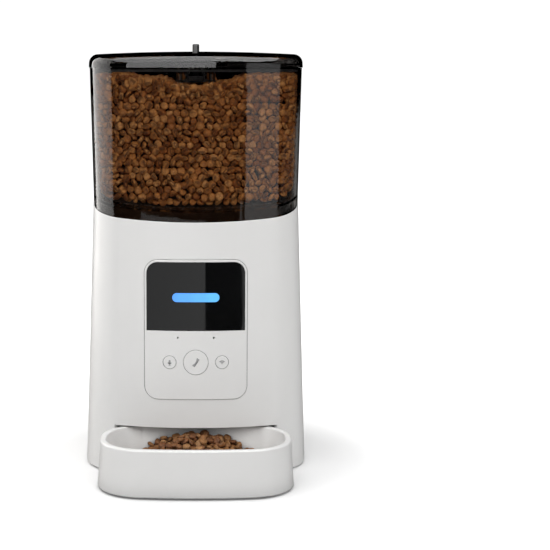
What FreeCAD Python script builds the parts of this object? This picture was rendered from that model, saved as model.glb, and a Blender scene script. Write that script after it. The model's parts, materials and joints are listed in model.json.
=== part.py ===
"""Automatic pet feeder: a white tapered housing with a smoked see-through tank on a slanted rim,
a locking lid, a front control panel, a rotary portioning drive and a pull-out feeding tray.
Millimetres. +Z is up, +X is to the right of someone facing the feeder, and -Y is the front.
The origin is on the floor, at the centre of the feeder's overall footprint."""
import FreeCAD, Part
import math
import os

V = FreeCAD.Vector

# ---------------------------------------------------------------- housing: driving sizes
base_half_width = 100.0
base_half_depth = 93.0
front_bow_radius = 233.0
side_bow_radius = 408.0
base_corner_radius = 42.0
boss_inset = 11.5               # screw bosses, in from the housing's widest line
boss_radius = 4.2
boss_height = 30.0
post_inset = 28.0               # chassis posts, in from the housing's widest line
post_radius = 5.0
foot_inset = 30.0
foot_radius = 8.0
screw_clearance = 1.5           # hole radius that a case screw passes through
screw_pilot = 1.35              # hole radius that a case screw bites into
screw_pilot_depth = 14.0
head_sink_radius = 3.0
head_sink_depth = 2.0
grille_pitch = 4.6
grille_hole_radius = 1.15
housing_draft = 0.0354          # inward lean of the walls, mm per mm of height
wall = 2.6
foot_height = 2.0
shell_bottom_z = 1.8
rim_front_z = 220.0             # height of the slanted rim above the front wall
rim_slope = 0.302               # rise of the rim per mm towards the back
rim_edge = 0.6

# ---------------------------------------------------------------- tank and lid
seam_z = 350.0                  # top edge of the tank
tank_top_inset = 6.2            # tank outline at the seam, inside the housing's base outline
tank_rim_step = 0.5             # how far the tank sits inside the housing's outline at the rim
tank_wall = 2.6
rim_gap = 0.3
tank_ledge_rise = 10.0          # from the rim up to the top of the tank's inner ledge
skirt_gap = 0.9
spigot_gap = 0.6
skirt_wall = 2.4
skirt_drop = 17.0               # how far the tank reaches down inside the rim at the front
lid_overhang = 0.8
lid_seam_gap = 0.3
lid_side_height = 14.2
lid_wall = 2.4
lid_crown_radius = 1650.0
lid_edge_radius = 8.0
knob_dish_radius = 16.0
knob_dish_depth = 3.6
knob_radius = 14.0
knob_blade_width = 6.0
knob_blade_top = 6.5            # above the lid's top
latch_disc_radius = 18.5
latch_disc_thickness = 2.8
latch_travel = 7.0
latch_catch = 6.6               # how far a catch lug reaches in from the tank's wall
catch_depth = 5.0               # from the seam down to the catch lugs
catch_thickness = 1.8
bolt_width = 11.0
bolt_thickness = 3.2
guide_floor = 1.6
bolt_pin_radius = 1.7
spiral_start = 8.0
spiral_turn = 90.0
lid_collar_gap = 0.5
lid_collar = 4.6                # how far the lid's collar reaches down into the tank
desiccant_radius = 21.0
desiccant_height = 8.0
desiccant_x = 48.0
desiccant_y = 30.0
guide_ear_y = 34.0

# ---------------------------------------------------------------- feeding tray
tray_half_width = 83.0
tray_half_depth = 46.7
tray_bow_radius = 450.0
tray_side_radius = 300.0
tray_corner_radius = 40.0
tray_forward = 115.3            # tray centre, in front of the housing's axis
tray_bottom_z = 1.6
tray_rim_z = 41.5
tray_draft = 0.0625
tray_rim_width = 5.0
tray_floor_z = 13.0
tray_floor_inset = 15.0
tray_wall = 3.0
tray_clearance = 1.2

# ---------------------------------------------------------------- control panel
panel_width = 88.0
panel_height = 120.5
panel_corner = 11.5
panel_centre_z = 128.0
panel_proud = 0.9
panel_seat_depth = 1.2
panel_ledge = 2.6
panel_depth = 4.2
panel_gap = 0.35
panel_edge = 0.5
window_inset = 1.8
window_bottom_z = 127.5
window_thickness = 1.6
light_bar_width = 40.2
light_bar_height = 7.6
light_bar_z = 156.2
sound_hole_x = 15.4
sound_hole_z = 121.5
sound_hole_radius = 0.85
feed_button_radius = 10.6
side_button_radius = 5.5
side_button_x = 22.5
button_z = 100.2
button_proud = 0.6
button_travel = 0.8
button_edge = 0.45
button_gap = 0.3

# ---------------------------------------------------------------- portioning drive
chute_height = 60.0
chute_spread = 20.0             # how much wider the duct gets on each side
chute_wall = 1.8
chute_flange = 2.4
cup_radius = 48.5
cup_wall = 2.5
cup_floor = 2.6
cup_depth = 40.0
cup_flange = 7.0
cup_flange_thickness = 2.4
cup_screw_angles = (45, 135, 225, 315)
shaft_radius = 4.0
rotor_gap = 0.9
rotor_vanes = 6
vane_thickness = 2.2
hub_radius = 11.0
drop_inner_radius = 24.0
drop_half_angle = 34.0
gear_module = 1.0
gear_height = 5.5
output_teeth = 32
idler_small_teeth = 12
idler_large_teeth = 30
pinion_teeth = 12
motor_radius = 12.0
motor_length = 30.0
motor_flat = 1.8                # how far each flat is cut into the motor's can
gear_pressure_angle = 25.0
gear_addendum = 0.85            # times the module
gear_dedendum = 1.1             # times the module
gear_thinning = 0.09            # taken off each tooth side at the pitch circle, for backlash
ear_radius = 3.6
case_end_setback = 9.0          # the gear case's rear end, in front of the motor's axis
sensor_hole_radius = 2.2
bearing_gap = 0.08              # between the shaft and what it turns in
press_gap = 0.02                # between the shaft and what is pressed on it

# ---------------------------------------------------------------- power and electronics
cell_radius = 16.6
cell_length = 61.5
cell_count = 3
cell_gap = 0.8
door_thickness = 2.4
door_lip_height = 9.0
board_thickness = 1.6
speaker_radius = 19.0
speaker_z = 112.0
inlet_z = 56.0
inlet_width = 9.0
inlet_height = 3.3

# ---------------------------------------------------------------- derived places
fit = 0.3                       # free gap between pieces that only pass each other
tray_front = tray_forward + tray_half_depth
axis_y = (tray_front - base_half_depth) / 2
overhang_z = tray_rim_z + 1.1
chute_bottom_z = overhang_z + 1.4
sensor_z = chute_bottom_z + 16
cup_floor_z = chute_bottom_z + chute_height
cup_top_z = cup_floor_z + cup_floor + cup_depth
deck_thickness = 2.6
plate_bottom_z = foot_height
plate_thickness = 4.0
plate_top_z = plate_bottom_z + plate_thickness
skirt_bottom_z = rim_front_z - skirt_drop
spigot_radius = cup_radius - spigot_gap
rim_mid_z = rim_front_z + rim_slope * (base_half_depth - housing_draft * rim_front_z)
lid_bottom_z = seam_z + lid_seam_gap
seal_inset = tank_wall + 1.4
lid_top_z = seam_z + lid_side_height
disc_bottom_z = seam_z + 0.8
lug_bottom_z = seam_z - catch_depth - catch_thickness
bolt_top_z = lug_bottom_z - 0.4
bolt_bottom_z = bolt_top_z - bolt_thickness
rail_top_z = disc_bottom_z - 1.0
rim_back_z = rim_mid_z + rim_slope * (base_half_depth - housing_draft * rim_mid_z)
gear_case_height = 17.0
gear_case_wall = 1.8
gear_cover = 3.0
case_top_z = cup_floor_z - gear_cover
case_bottom_z = case_top_z - gear_case_height
idler_y = gear_module * (output_teeth + idler_small_teeth) / 2
motor_y = idler_y + gear_module * (idler_large_teeth + pinion_teeth) / 2
large_gear_z = case_bottom_z + 2.8
small_gear_z = large_gear_z + gear_height + 0.4
cell_pitch = 2 * cell_radius + cell_gap
cell_row_half = cell_pitch * cell_count / 2
cell_axis_z = plate_top_z + 0.5 + cell_radius
box_wall = 1.6
box_end_gap = 2.6
box_half_width = cell_row_half + 0.8 + box_wall
box_top_z = cell_axis_z + cell_radius + 1.0 + box_wall
door_half_width = box_half_width + 1.0
door_tongue = 2.0
board_front_y = -(base_half_depth - housing_draft * panel_centre_z) + panel_depth + 9.3

BIG = 600.0


def at(x, y, z):
    """A point given from the housing's own axis."""
    return V(x, y + axis_y, z)


# ---------------------------------------------------------------- outlines made of tangent arcs
class Outline:
    """An oval rectangle: bowed front, back and sides, joined by round corners."""

    def __init__(self, half_width, half_depth, bow, side, corner, shift=0.0):
        self.half_width = half_width
        self.half_depth = half_depth
        self.bow = bow
        self.side = side
        self.corner = corner
        self.shift = shift

    def inset(self, by):
        return Outline(self.half_width - by, self.half_depth - by, self.bow - by,
                       self.side - by, self.corner - by, self.shift)

    def quarter(self):
        """Corner arc ends and middle, in the first quadrant, round the outline's centre."""
        down = self.bow - self.half_depth
        left = self.side - self.half_width
        reach_bow = self.bow - self.corner
        reach_side = self.side - self.corner
        span = math.hypot(down, left)
        along = (reach_bow ** 2 - reach_side ** 2 + span ** 2) / (2 * span)
        off = math.sqrt(reach_bow ** 2 - along ** 2)
        cx = -along * left / span + off * down / span
        cy = -down + along * down / span + off * left / span
        first = (cx * self.bow / reach_bow, -down + (cy + down) * self.bow / reach_bow)
        last = (-left + (cx + left) * self.side / reach_side, cy * self.side / reach_side)
        a0 = math.atan2(first[1] - cy, first[0] - cx)
        a1 = math.atan2(last[1] - cy, last[0] - cx)
        middle = (a0 + a1) / 2
        mid = (cx + self.corner * math.cos(middle), cy + self.corner * math.sin(middle))
        return first, mid, last

    def wire(self, z):
        (x1, y1), (xm, ym), (x2, y2) = self.quarter()
        points = [(x2, -y2), (self.half_width, 0), (x2, y2), (xm, ym), (x1, y1),
                  (0, self.half_depth), (-x1, y1), (-xm, ym), (-x2, y2),
                  (-self.half_width, 0), (-x2, -y2), (-xm, -ym), (-x1, -y1),
                  (0, -self.half_depth), (x1, -y1), (xm, -ym), (x2, -y2)]
        placed = [at(x, y + self.shift, z) for x, y in points]
        edges = [Part.Arc(*placed[i:i + 3]).toShape() for i in range(0, 16, 2)]
        return Part.Wire(edges)


def loft(wires):
    return Part.makeLoft(wires, True, True)


def housing_outline(z, inset=0.0):
    base = Outline(base_half_width, base_half_depth, front_bow_radius, side_bow_radius,
                   base_corner_radius)
    return base.inset(inset + housing_draft * (z - shell_bottom_z))


def housing_solid(z0, z1, inset=0.0):
    """What the housing's outline encloses between two heights, inset from its outer face."""
    return loft([housing_outline(z0, inset).wire(z0), housing_outline(z1, inset).wire(z1)])


def tank_outline(z, inset=0.0):
    """The tank's outline: it meets the housing's at the rim, front and back, and flares to the seam."""
    top = Outline(base_half_width - tank_top_inset, base_half_depth - tank_top_inset,
                  front_bow_radius - tank_top_inset, side_bow_radius - tank_top_inset,
                  base_corner_radius - tank_top_inset)
    side_z = rim_front_z + (rim_mid_z - rim_front_z) * 0.55

    def lean(level):
        """Inward lean per mm below the seam, so that the tank meets the rim at that level."""
        at_rim = housing_draft * (level - shell_bottom_z) + tank_rim_step
        return (at_rim - tank_top_inset) / (seam_z - level)

    drop = seam_z - z
    front, back, side = [lean(level) * drop for level in (rim_front_z, rim_back_z, side_z)]
    mean = (front + back) / 2
    return Outline(top.half_width - side - inset, top.half_depth - mean - inset,
                   top.bow - mean - inset, top.side - side - inset,
                   top.corner - side - inset, (front - back) / 2)


def inner_wall_y(x, z):
    """The housing's inner rear face, measured from its axis, at one width and height."""
    outline = housing_outline(z, wall)
    return outline.half_depth - outline.bow + math.sqrt(outline.bow ** 2 - x ** 2)


cell_back_y = inner_wall_y(box_half_width, box_top_z) - 0.4 - box_end_gap
cell_front_y = cell_back_y - cell_length
box_front_y = cell_front_y - box_end_gap


def tank_solid(z0, z1, inset=0.0):
    return loft([tank_outline(z0, inset).wire(z0), tank_outline(z1, inset).wire(z1)])


def tray_outline(z, inset=0.0):
    corner = min(tray_corner_radius, tray_half_depth * 0.86)
    outer = Outline(tray_half_width, tray_half_depth, tray_bow_radius, tray_side_radius,
                    corner, -tray_forward)
    return outer.inset(inset + tray_draft * (z - tray_bottom_z))


def under_rim(lift=0.0):
    """Everything below the slanted rim plane, moved up by lift."""
    low = rim_mid_z - rim_slope * BIG + lift
    high = rim_mid_z + rim_slope * BIG + lift
    corners = [at(-BIG, -BIG, low), at(-BIG, BIG, high), at(-BIG, BIG, -BIG), at(-BIG, -BIG, -BIG)]
    face = Part.Face(Part.makePolygon(corners + corners[:1]))
    return face.extrude(V(2 * BIG, 0, 0))


def on_rim(edge):
    """True for an edge that lies in the slanted rim plane."""
    for share in (0.1, 0.5, 0.9):
        p = edge.valueAt(edge.FirstParameter + (edge.LastParameter - edge.FirstParameter) * share)
        if abs(p.z - rim_mid_z - rim_slope * (p.y - axis_y)) > 0.02:
            return False
    return True


# ---------------------------------------------------------------- small shape helpers
def block(x0, x1, y0, y1, z0, z1):
    return Part.makeBox(x1 - x0, y1 - y0, z1 - z0, at(x0, y0, z0))


def post(radius, x, y, z0, z1):
    """An upright cylinder."""
    return Part.makeCylinder(radius, z1 - z0, at(x, y, z0))


def rod(radius, x, z, y0, y1):
    """A cylinder along Y."""
    return Part.makeCylinder(radius, y1 - y0, at(x, y0, z), V(0, 1, 0))


def plaque(width, height, corner, x, z, y0, y1):
    """A rounded rectangle standing in XZ, pushed along Y."""
    w, h, r = width / 2, height / 2, corner
    k = r * (1 - math.sqrt(0.5))
    turns = [(1, 1), (-1, 1), (-1, -1), (1, -1)]
    edges = []
    previous = None
    first = None
    for i, (sx, sz) in enumerate(turns):
        a, b = (w, h - r), (w - r, h)
        if i % 2:
            a, b = b, a
        start = at(x + sx * a[0], y0, z + sz * a[1])
        middle = at(x + sx * (w - k), y0, z + sz * (h - k))
        end = at(x + sx * b[0], y0, z + sz * b[1])
        if previous is not None and previous.distanceToPoint(start) > 1e-6:
            edges.append(Part.LineSegment(previous, start).toShape())
        edges.append(Part.Arc(start, middle, end).toShape())
        previous = end
        first = first or start
    if previous.distanceToPoint(first) > 1e-6:
        edges.append(Part.LineSegment(previous, first).toShape())
    return Part.Face(Part.Wire(edges)).extrude(V(0, y1 - y0, 0))


def slab(width, depth, corner, x, y, z0, z1):
    """A flat rounded rectangle, pushed up along Z."""
    made = plaque(width, depth, corner, 0, 0, 0, z1 - z0)
    made.translate(V(0, -axis_y, 0))
    made.rotate(V(0, 0, 0), V(1, 0, 0), 90)
    made.translate(at(x, y, z0))
    return made


def sector(inner, outer, half_angle, z0, z1):
    """A slice of a ring, centred on the front."""
    whole = post(outer, 0, 0, z0, z1).cut(post(inner, 0, 0, z0 - 1, z1 + 1))
    reach = outer * 2
    side = math.radians(half_angle)
    corners = [at(0, 0, z0 - 1), at(-reach * math.sin(side), -reach * math.cos(side), z0 - 1),
               at(0, -reach * 1.5, z0 - 1),
               at(reach * math.sin(side), -reach * math.cos(side), z0 - 1)]
    wedge = Part.Face(Part.makePolygon(corners + corners[:1])).extrude(V(0, 0, z1 - z0 + 2))
    return whole.common(wedge)


def fuse(shapes):
    whole = shapes[0]
    for piece in shapes[1:]:
        whole = whole.fuse(piece)
    return whole.removeSplitter()


def screw(point, way, length, radius=1.3, head_radius=2.6, head_height=1.8):
    """A cross-head screw: point is under its head and way points out of the head."""
    way = V(*way)
    head = Part.makeCylinder(head_radius, head_height, point, way)
    shank = Part.makeCylinder(radius, length, point, way * -1)
    body = head.fuse(shank)
    side = V(1, 0, 0)
    other = way.cross(side)
    for a, b in ((side, other), (other, side)):
        low = point + way * (head_height * 0.45) - a * head_radius * 0.6 - b * 0.35
        face = Part.Face(Part.makePolygon([low, low + a * head_radius * 1.2,
                                           low + a * head_radius * 1.2 + b * 0.7,
                                           low + b * 0.7, low]))
        body = body.cut(face.extrude(way * head_height))
    return body


# ---------------------------------------------------------------- gears
def gear(teeth, z0, z1, y, phase, bore=0.0):
    """A spur gear with involute flanks, its axis upright at (0, y)."""
    pressure = math.radians(gear_pressure_angle)
    pitch = gear_module * teeth / 2
    base = pitch * math.cos(pressure)
    tip = pitch + gear_addendum * gear_module
    root = pitch - gear_dedendum * gear_module
    thinning = gear_thinning / pitch

    def involute(angle):
        return math.tan(angle) - angle

    half_at_pitch = math.pi / (2 * teeth) - thinning

    def half_angle(radius):
        if radius <= base:
            return half_at_pitch + involute(pressure)
        return half_at_pitch + involute(pressure) - involute(math.acos(base / radius))

    start = max(base, root)
    radii = [root, start, (start + pitch) / 2, pitch, (pitch + tip) / 2, tip]
    points = []
    for i in range(teeth):
        middle = phase + 2 * math.pi * i / teeth
        left = [(r, middle - half_angle(r)) for r in radii]
        right = [(r, middle + half_angle(r)) for r in reversed(radii)]
        points += left + right
    flat = []
    for r, a in points:
        p = at(r * math.cos(a), y + r * math.sin(a), z0)
        if not flat or flat[-1].distanceToPoint(p) > 1e-4:
            flat.append(p)
    body = Part.Face(Part.makePolygon(flat + flat[:1])).extrude(V(0, 0, z1 - z0))
    if bore:
        body = body.cut(post(bore, 0, y, z0 - 1, z1 + 1))
    return body


# ---------------------------------------------------------------- housing
def chassis_posts():
    return [(sx * (base_half_width - post_inset), y) for sx in (-1, 1)
            for y in (-(base_half_depth - 57), base_half_depth - 47)]


def shell_bosses():
    return [(sx * (base_half_width - boss_inset), y) for sx in (-1, 1) for y in (-16, 34)]


def panel_prism(inset, y0=-BIG, y1=0.0):
    return plaque(panel_width - 2 * inset, panel_height - 2 * inset, panel_corner - inset,
                  0, panel_centre_z, y0, y1)


def grille_holes():
    """Places of the sound holes: rings round the speaker's middle."""
    places = [(0.0, speaker_z)]
    for ring in (1, 2, 3):
        for i in range(6 * ring):
            angle = 2 * math.pi * i / (6 * ring)
            places.append((grille_pitch * ring * math.cos(angle),
                           speaker_z + grille_pitch * ring * math.sin(angle)))
    return places


def body_shell():
    top = rim_mid_z + rim_slope * BIG
    outer = housing_solid(shell_bottom_z, rim_mid_z + 60).common(under_rim())
    inner = housing_solid(shell_bottom_z - 1, rim_mid_z + 61, wall)
    bosses = []
    for x, y in shell_bosses():
        side = math.copysign(1, x)
        rib = block(min(x, side * base_half_width), max(x, side * base_half_width),
                    y - 1.2, y + 1.2, plate_top_z, plate_top_z + boss_height)
        boss = post(boss_radius, x, y, plate_top_z, plate_top_z + boss_height)
        bosses.append(boss.fuse(rib))
    inside = housing_solid(shell_bottom_z, rim_mid_z, wall / 2)
    shell = outer.cut(inner)
    shell = shell.makeFillet(rim_edge, [edge for edge in shell.Edges if on_rim(edge)])
    shell = fuse([shell] + [boss.common(inside) for boss in bosses])
    for x, y in shell_bosses():
        shell = shell.cut(post(screw_pilot, x, y, plate_top_z - 1, plate_top_z + screw_pilot_depth))
    opening = loft([tray_outline(tray_bottom_z, -tray_clearance).wire(tray_bottom_z - 5),
                    tray_outline(tray_bottom_z, -tray_clearance).wire(overhang_z)])
    shell = shell.cut(opening)
    seat = panel_prism(-panel_gap).cut(housing_solid(plate_top_z, top, panel_seat_depth))
    shell = shell.cut(seat).cut(panel_prism(panel_ledge - panel_gap))
    notch = block(-door_half_width - fit, door_half_width + fit, 0, BIG,
                  0, plate_bottom_z + door_lip_height + fit)
    shell = shell.cut(notch)
    for x, z in grille_holes():
        shell = shell.cut(rod(grille_hole_radius, x, z, 0, BIG))
    inlet = plaque(inlet_width + 0.8, inlet_height + 0.8, (inlet_height + 0.8) / 2 - 0.01,
                   0, inlet_z, 0, BIG)
    return shell.cut(inlet)


def base_plate():
    plate = housing_solid(plate_bottom_z, plate_top_z, wall + fit)
    opening = loft([tray_outline(tray_bottom_z, -tray_clearance).wire(plate_bottom_z - 2),
                    tray_outline(tray_bottom_z, -tray_clearance).wire(plate_top_z + 2)])
    plate = plate.cut(opening)
    half = door_half_width - door_tongue + fit
    plate = plate.cut(block(-half, half, box_front_y - fit, BIG, plate_bottom_z - 1, plate_top_z + 1))
    groove = half + door_tongue
    plate = plate.cut(block(-groove, groove, box_front_y - fit, BIG,
                            plate_bottom_z + 1.1, plate_bottom_z + 2.7))
    for x, y in chassis_posts() + shell_bosses():
        plate = plate.cut(post(screw_clearance, x, y, plate_bottom_z - 1, plate_top_z + 1))
        plate = plate.cut(post(head_sink_radius, x, y, plate_bottom_z - 1,
                               plate_bottom_z + head_sink_depth))
    return plate


def battery_door():
    half = door_half_width - door_tongue
    z0 = plate_bottom_z + 0.6
    sheet = block(-half, half, box_front_y, BIG, z0, z0 + door_thickness)
    tongue = block(-door_half_width, door_half_width, box_front_y, BIG,
                   plate_bottom_z + 1.3, plate_bottom_z + 2.5)
    sheet = sheet.fuse(tongue).common(housing_solid(0.5, 60, 0.3))
    lip = block(-door_half_width, door_half_width, 0, BIG, z0, plate_bottom_z + door_lip_height)
    lip = lip.common(housing_solid(0.5, 60, 0.3)).cut(housing_solid(0.4, 61, wall - 0.2))
    grip = fuse([block(-14, 14, cell_back_y - 14 + 3 * i, cell_back_y - 12.8 + 3 * i,
                       z0 - 0.3, z0 + 0.2) for i in range(4)])
    return fuse([sheet, lip, grip])


def rubber_feet():
    spots = [(sx * (base_half_width - foot_inset), y) for sx in (-1, 1)
             for y in (-(base_half_depth - 73), base_half_depth - 31)]
    return [post(foot_radius, x, y, 0, foot_height) for x, y in spots]


def base_screws():
    return [screw(at(x, y, plate_bottom_z + head_sink_depth), (0, 0, -1), 12, head_height=1.6)
            for x, y in chassis_posts() + shell_bosses()]


def chassis():
    z1 = cup_top_z
    z0 = z1 - deck_thickness
    deck = housing_solid(z0, z1, wall + 1.0)
    front_edge = board_front_y + board_thickness + 7
    deck = deck.cut(block(-BIG, BIG, -BIG, front_edge, z0 - 1, z1 + 1))
    legs = [post(post_radius, x, y, plate_top_z, z1) for x, y in chassis_posts()]
    front, back = chassis_posts()[0][1], chassis_posts()[1][1]
    brace_x = base_half_width - post_inset
    brace = [block(sx * brace_x - 1.2, sx * brace_x + 1.2,
                   front, back, z0 - 8, z1) for sx in (-1, 1)]
    frame = fuse([deck] + legs + brace)
    frame = frame.cut(post(cup_radius + cup_wall + fit, 0, 0, z0 - 20, z1 + 1))
    for x, y in chassis_posts():
        frame = frame.cut(post(screw_pilot, x, y, plate_top_z - 1, plate_top_z + screw_pilot_depth))
    for x, y in cup_screw_places():
        frame = frame.cut(post(screw_pilot, x, y, z0 - 1, z1 + 1))
    return frame


# ---------------------------------------------------------------- portioning drive
def cup_screw_places():
    """Where the cup's flange is screwed down on the chassis deck."""
    reach = cup_radius + cup_wall + cup_flange / 2
    return [(reach * math.cos(math.radians(a)), reach * math.sin(math.radians(a)))
            for a in cup_screw_angles]


def dispenser_cup():
    z0 = cup_floor_z
    wall_ring = post(cup_radius + cup_wall, 0, 0, z0, cup_top_z)
    flange = post(cup_radius + cup_wall + cup_flange, 0, 0, cup_top_z,
                  cup_top_z + cup_flange_thickness)
    cup = wall_ring.fuse(flange)
    cup = cup.cut(post(cup_radius, 0, 0, z0 + cup_floor, cup_top_z + 5))
    cup = cup.cut(sector(drop_inner_radius, cup_radius - 1.5, drop_half_angle, z0 - 1,
                         z0 + cup_floor + 1))
    cup = cup.cut(post(shaft_radius + bearing_gap, 0, 0, z0 - 1, z0 + cup_floor + 1))
    for x, y in cup_screw_places():
        cup = cup.cut(post(screw_clearance, x, y, cup_top_z - 1, cup_top_z + 5))
    return cup.removeSplitter()


def cup_screws():
    return [screw(at(x, y, cup_top_z + cup_flange_thickness), (0, 0, 1), 8, head_height=1.2)
            for x, y in cup_screw_places()]


def vane_top_z():
    return cup_top_z - 6.0


def drop_guard():
    """The fixed lid over the drop hole, so that food leaves only between the vanes."""
    z0 = vane_top_z() + rotor_gap
    plate = sector(hub_radius + 2.5, cup_radius, drop_half_angle + 8, z0, z0 + 2.0)
    return plate


def portion_rotor():
    z0 = cup_floor_z + cup_floor + 0.6
    z1 = vane_top_z()
    parts = [post(hub_radius, 0, 0, z0, z1)]
    for i in range(rotor_vanes):
        vane = Part.makeBox(cup_radius - rotor_gap, vane_thickness, z1 - z0,
                            at(0, -vane_thickness / 2, z0))
        vane.rotate(at(0, 0, 0), V(0, 0, 1), 360 * (i + 0.5) / rotor_vanes)
        parts.append(vane)
    rotor = fuse(parts)
    rotor = rotor.common(post(cup_radius - rotor_gap, 0, 0, z0, z1))
    return rotor.cut(post(shaft_radius + press_gap, 0, 0, z0 - 1, z1 + 1))


def agitator():
    """The soft stirrer on top of the rotor that keeps food from bridging."""
    z0 = vane_top_z()
    hub = post(hub_radius, 0, 0, z0, cup_top_z + 6)
    hub = hub.fuse(Part.makeCone(hub_radius, 4, 7, at(0, 0, cup_top_z + 6)))
    arms = []
    for i in range(3):
        arm = Part.makeBox(cup_radius * 0.68, 4, 3.4, at(0, -2, cup_top_z + 1.5))
        arm.rotate(at(0, 0, 0), V(0, 0, 1), 120 * i + 90)
        arms.append(arm)
    whole = fuse([hub] + arms)
    bore = post(shaft_radius + press_gap, 0, 0, z0 - 1, cup_top_z + 2)
    return whole.cut(bore)


def rotor_shaft():
    return post(shaft_radius, 0, 0, case_bottom_z + 0.6, cup_top_z + 1.4)


def output_gear():
    hub = post(8.0, 0, 0, small_gear_z - 1.2, small_gear_z + gear_height + 1.2)
    wheel = gear(output_teeth, small_gear_z, small_gear_z + gear_height, 0, 0)
    return hub.fuse(wheel).cut(post(shaft_radius + press_gap, 0, 0, 0, BIG))


def idler_gear():
    large = gear(idler_large_teeth, large_gear_z, large_gear_z + gear_height - 1, idler_y, 0)
    neck = post(4.5, 0, idler_y, large_gear_z - 0.5, small_gear_z + 0.2)
    small = gear(idler_small_teeth, small_gear_z - 0.4, small_gear_z + gear_height + 0.4,
                 idler_y, math.pi / idler_small_teeth)
    whole = fuse([large, neck, small])
    return whole.cut(post(1.56, 0, idler_y, 0, BIG))


def idler_axle():
    return post(1.5, 0, idler_y, case_bottom_z + 0.4, case_top_z + 1.0)


def motor_pinion():
    """The pinion with the motor shaft that it is pressed on."""
    wheel = gear(pinion_teeth, large_gear_z - 0.4, large_gear_z + gear_height - 0.6, motor_y, 0)
    return wheel.fuse(post(1.0, 0, motor_y, case_bottom_z - 6, large_gear_z + gear_height + 1))


def slot_solid(radius, z0, z1, y_end):
    return fuse([post(radius, 0, 0, z0, z1), post(radius, 0, y_end, z0, z1),
                 block(-radius, radius, 0, y_end, z0, z1)])


def gear_ears():
    reach = gear_case_radius() + gear_case_wall + 2.2
    return [(sx * reach, y) for sx in (-1, 1) for y in (10, motor_y - case_end_setback)]


def gear_case_radius():
    return gear_module * output_teeth / 2 + gear_addendum * gear_module + 0.8


def gearbox_case():
    inner = gear_case_radius()
    y_end = motor_y - case_end_setback
    outer = slot_solid(inner + gear_case_wall, case_bottom_z, case_top_z, y_end)
    ears = [post(ear_radius, x, y, case_bottom_z, case_top_z) for x, y in gear_ears()]
    case = fuse([outer] + ears)
    case = case.cut(slot_solid(inner, case_bottom_z + 2, case_top_z + 1, y_end))
    case = case.cut(post(shaft_radius + bearing_gap, 0, 0, case_bottom_z - 1, case_bottom_z + 3))
    case = case.cut(post(1.5, 0, idler_y, case_bottom_z + 0.4, case_bottom_z + 3))
    case = case.cut(post(3.6, 0, motor_y, case_bottom_z - 1, case_bottom_z + 3))
    for x, y in gear_ears():
        case = case.cut(post(1.4, x, y, case_bottom_z - 1, case_top_z + 1))
    return case


def gearbox_cover():
    inner = gear_case_radius()
    y_end = motor_y - case_end_setback
    cover = slot_solid(inner + gear_case_wall, case_top_z, cup_floor_z, y_end)
    ears = [post(ear_radius, x, y, case_top_z, cup_floor_z) for x, y in gear_ears()]
    cover = fuse([cover] + ears)
    cover = cover.cut(post(shaft_radius + bearing_gap, 0, 0, case_top_z - 1, cup_floor_z + 1))
    cover = cover.cut(post(1.5, 0, idler_y, case_top_z - 1, case_top_z + 1))
    for x, y in gear_ears():
        cover = cover.cut(post(1.3, x, y, case_top_z - 1, cup_floor_z - 0.6))
    return cover


def gearbox_screws():
    return [screw(at(x, y, case_bottom_z), (0, 0, -1), gear_case_height + 2, 1.25, 2.6)
            for x, y in gear_ears()]


def gear_motor():
    z1 = case_bottom_z
    z0 = z1 - motor_length
    can = post(motor_radius, 0, motor_y, z0, z1)
    flats = block(-motor_radius + motor_flat, motor_radius - motor_flat,
                  motor_y - BIG, motor_y + BIG, z0, z1)
    can = can.common(flats)
    parts = [can, post(5.0, 0, motor_y, z0 - 1.6, z0), post(3.4, 0, motor_y, z1, z1 + 1.6)]
    for sx in (-1, 1):
        parts.append(block(sx * 7 - 1.2, sx * 7 + 1.2, motor_y - 0.3, motor_y + 0.3, z0 - 4, z0))
    motor = fuse(parts)
    return motor.cut(post(1.06, 0, motor_y, z1 - 7, z1 + 3))


def chute_half_width(z):
    """The duct's inner half width: it widens evenly from the drop hole down to the tray."""
    top = cup_radius * math.sin(math.radians(drop_half_angle)) + 1.0
    return top + chute_spread * (cup_floor_z - chute_flange - z) / (chute_height - chute_flange)


def chute():
    """The sloping duct from the drop hole to the back of the tray, open at both ends."""
    back_top = drop_inner_radius * math.cos(math.radians(drop_half_angle)) - 1.0
    front_top = cup_radius + 1.0
    rear_rim = tray_outline(tray_rim_z)
    back_low = tray_forward - rear_rim.half_depth + tray_rim_width / 2
    front_low = base_half_depth
    z_top = cup_floor_z - chute_flange

    def duct_solid(grow):
        levels = ((chute_bottom_z, back_low, front_low), (z_top, back_top, front_top))
        wires = []
        for z, back, front in levels:
            wide, y0, y1 = chute_half_width(z) + grow, -front - grow, -back + grow
            corners = [at(-wide, y0, z), at(wide, y0, z), at(wide, y1, z), at(-wide, y1, z)]
            wires.append(Part.makePolygon(corners + corners[:1]))
        inset = wall + 0.4 + chute_wall - grow
        return loft(wires).common(housing_solid(chute_bottom_z - 1, cup_floor_z, inset))

    half = chute_half_width(z_top)
    flange = block(-half - 5, half + 5, -front_top - 5, -back_top + chute_wall, z_top, cup_floor_z)
    hole = block(-half, half, -front_top, -back_top, z_top - 1, cup_floor_z + 1)
    duct = duct_solid(chute_wall).cut(duct_solid(0.0)).fuse(flange.cut(hole))
    clear = slot_solid(gear_case_radius() + gear_case_wall + 0.2, case_bottom_z - 1,
                       cup_floor_z + 1, motor_y - case_end_setback)
    beam = Part.makeCylinder(sensor_hole_radius, 4 * half, at(-2 * half, sensor_y(), sensor_z), V(1, 0, 0))
    return duct.cut(clear).cut(beam).removeSplitter()


def sensor_y():
    """The middle of the duct, front to back, at the sensor's height."""
    share = (sensor_z - chute_bottom_z) / chute_height
    low = -(tray_forward - tray_half_depth + base_half_depth) / 2
    return low + share * (-low - cup_radius * 0.72)


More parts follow.
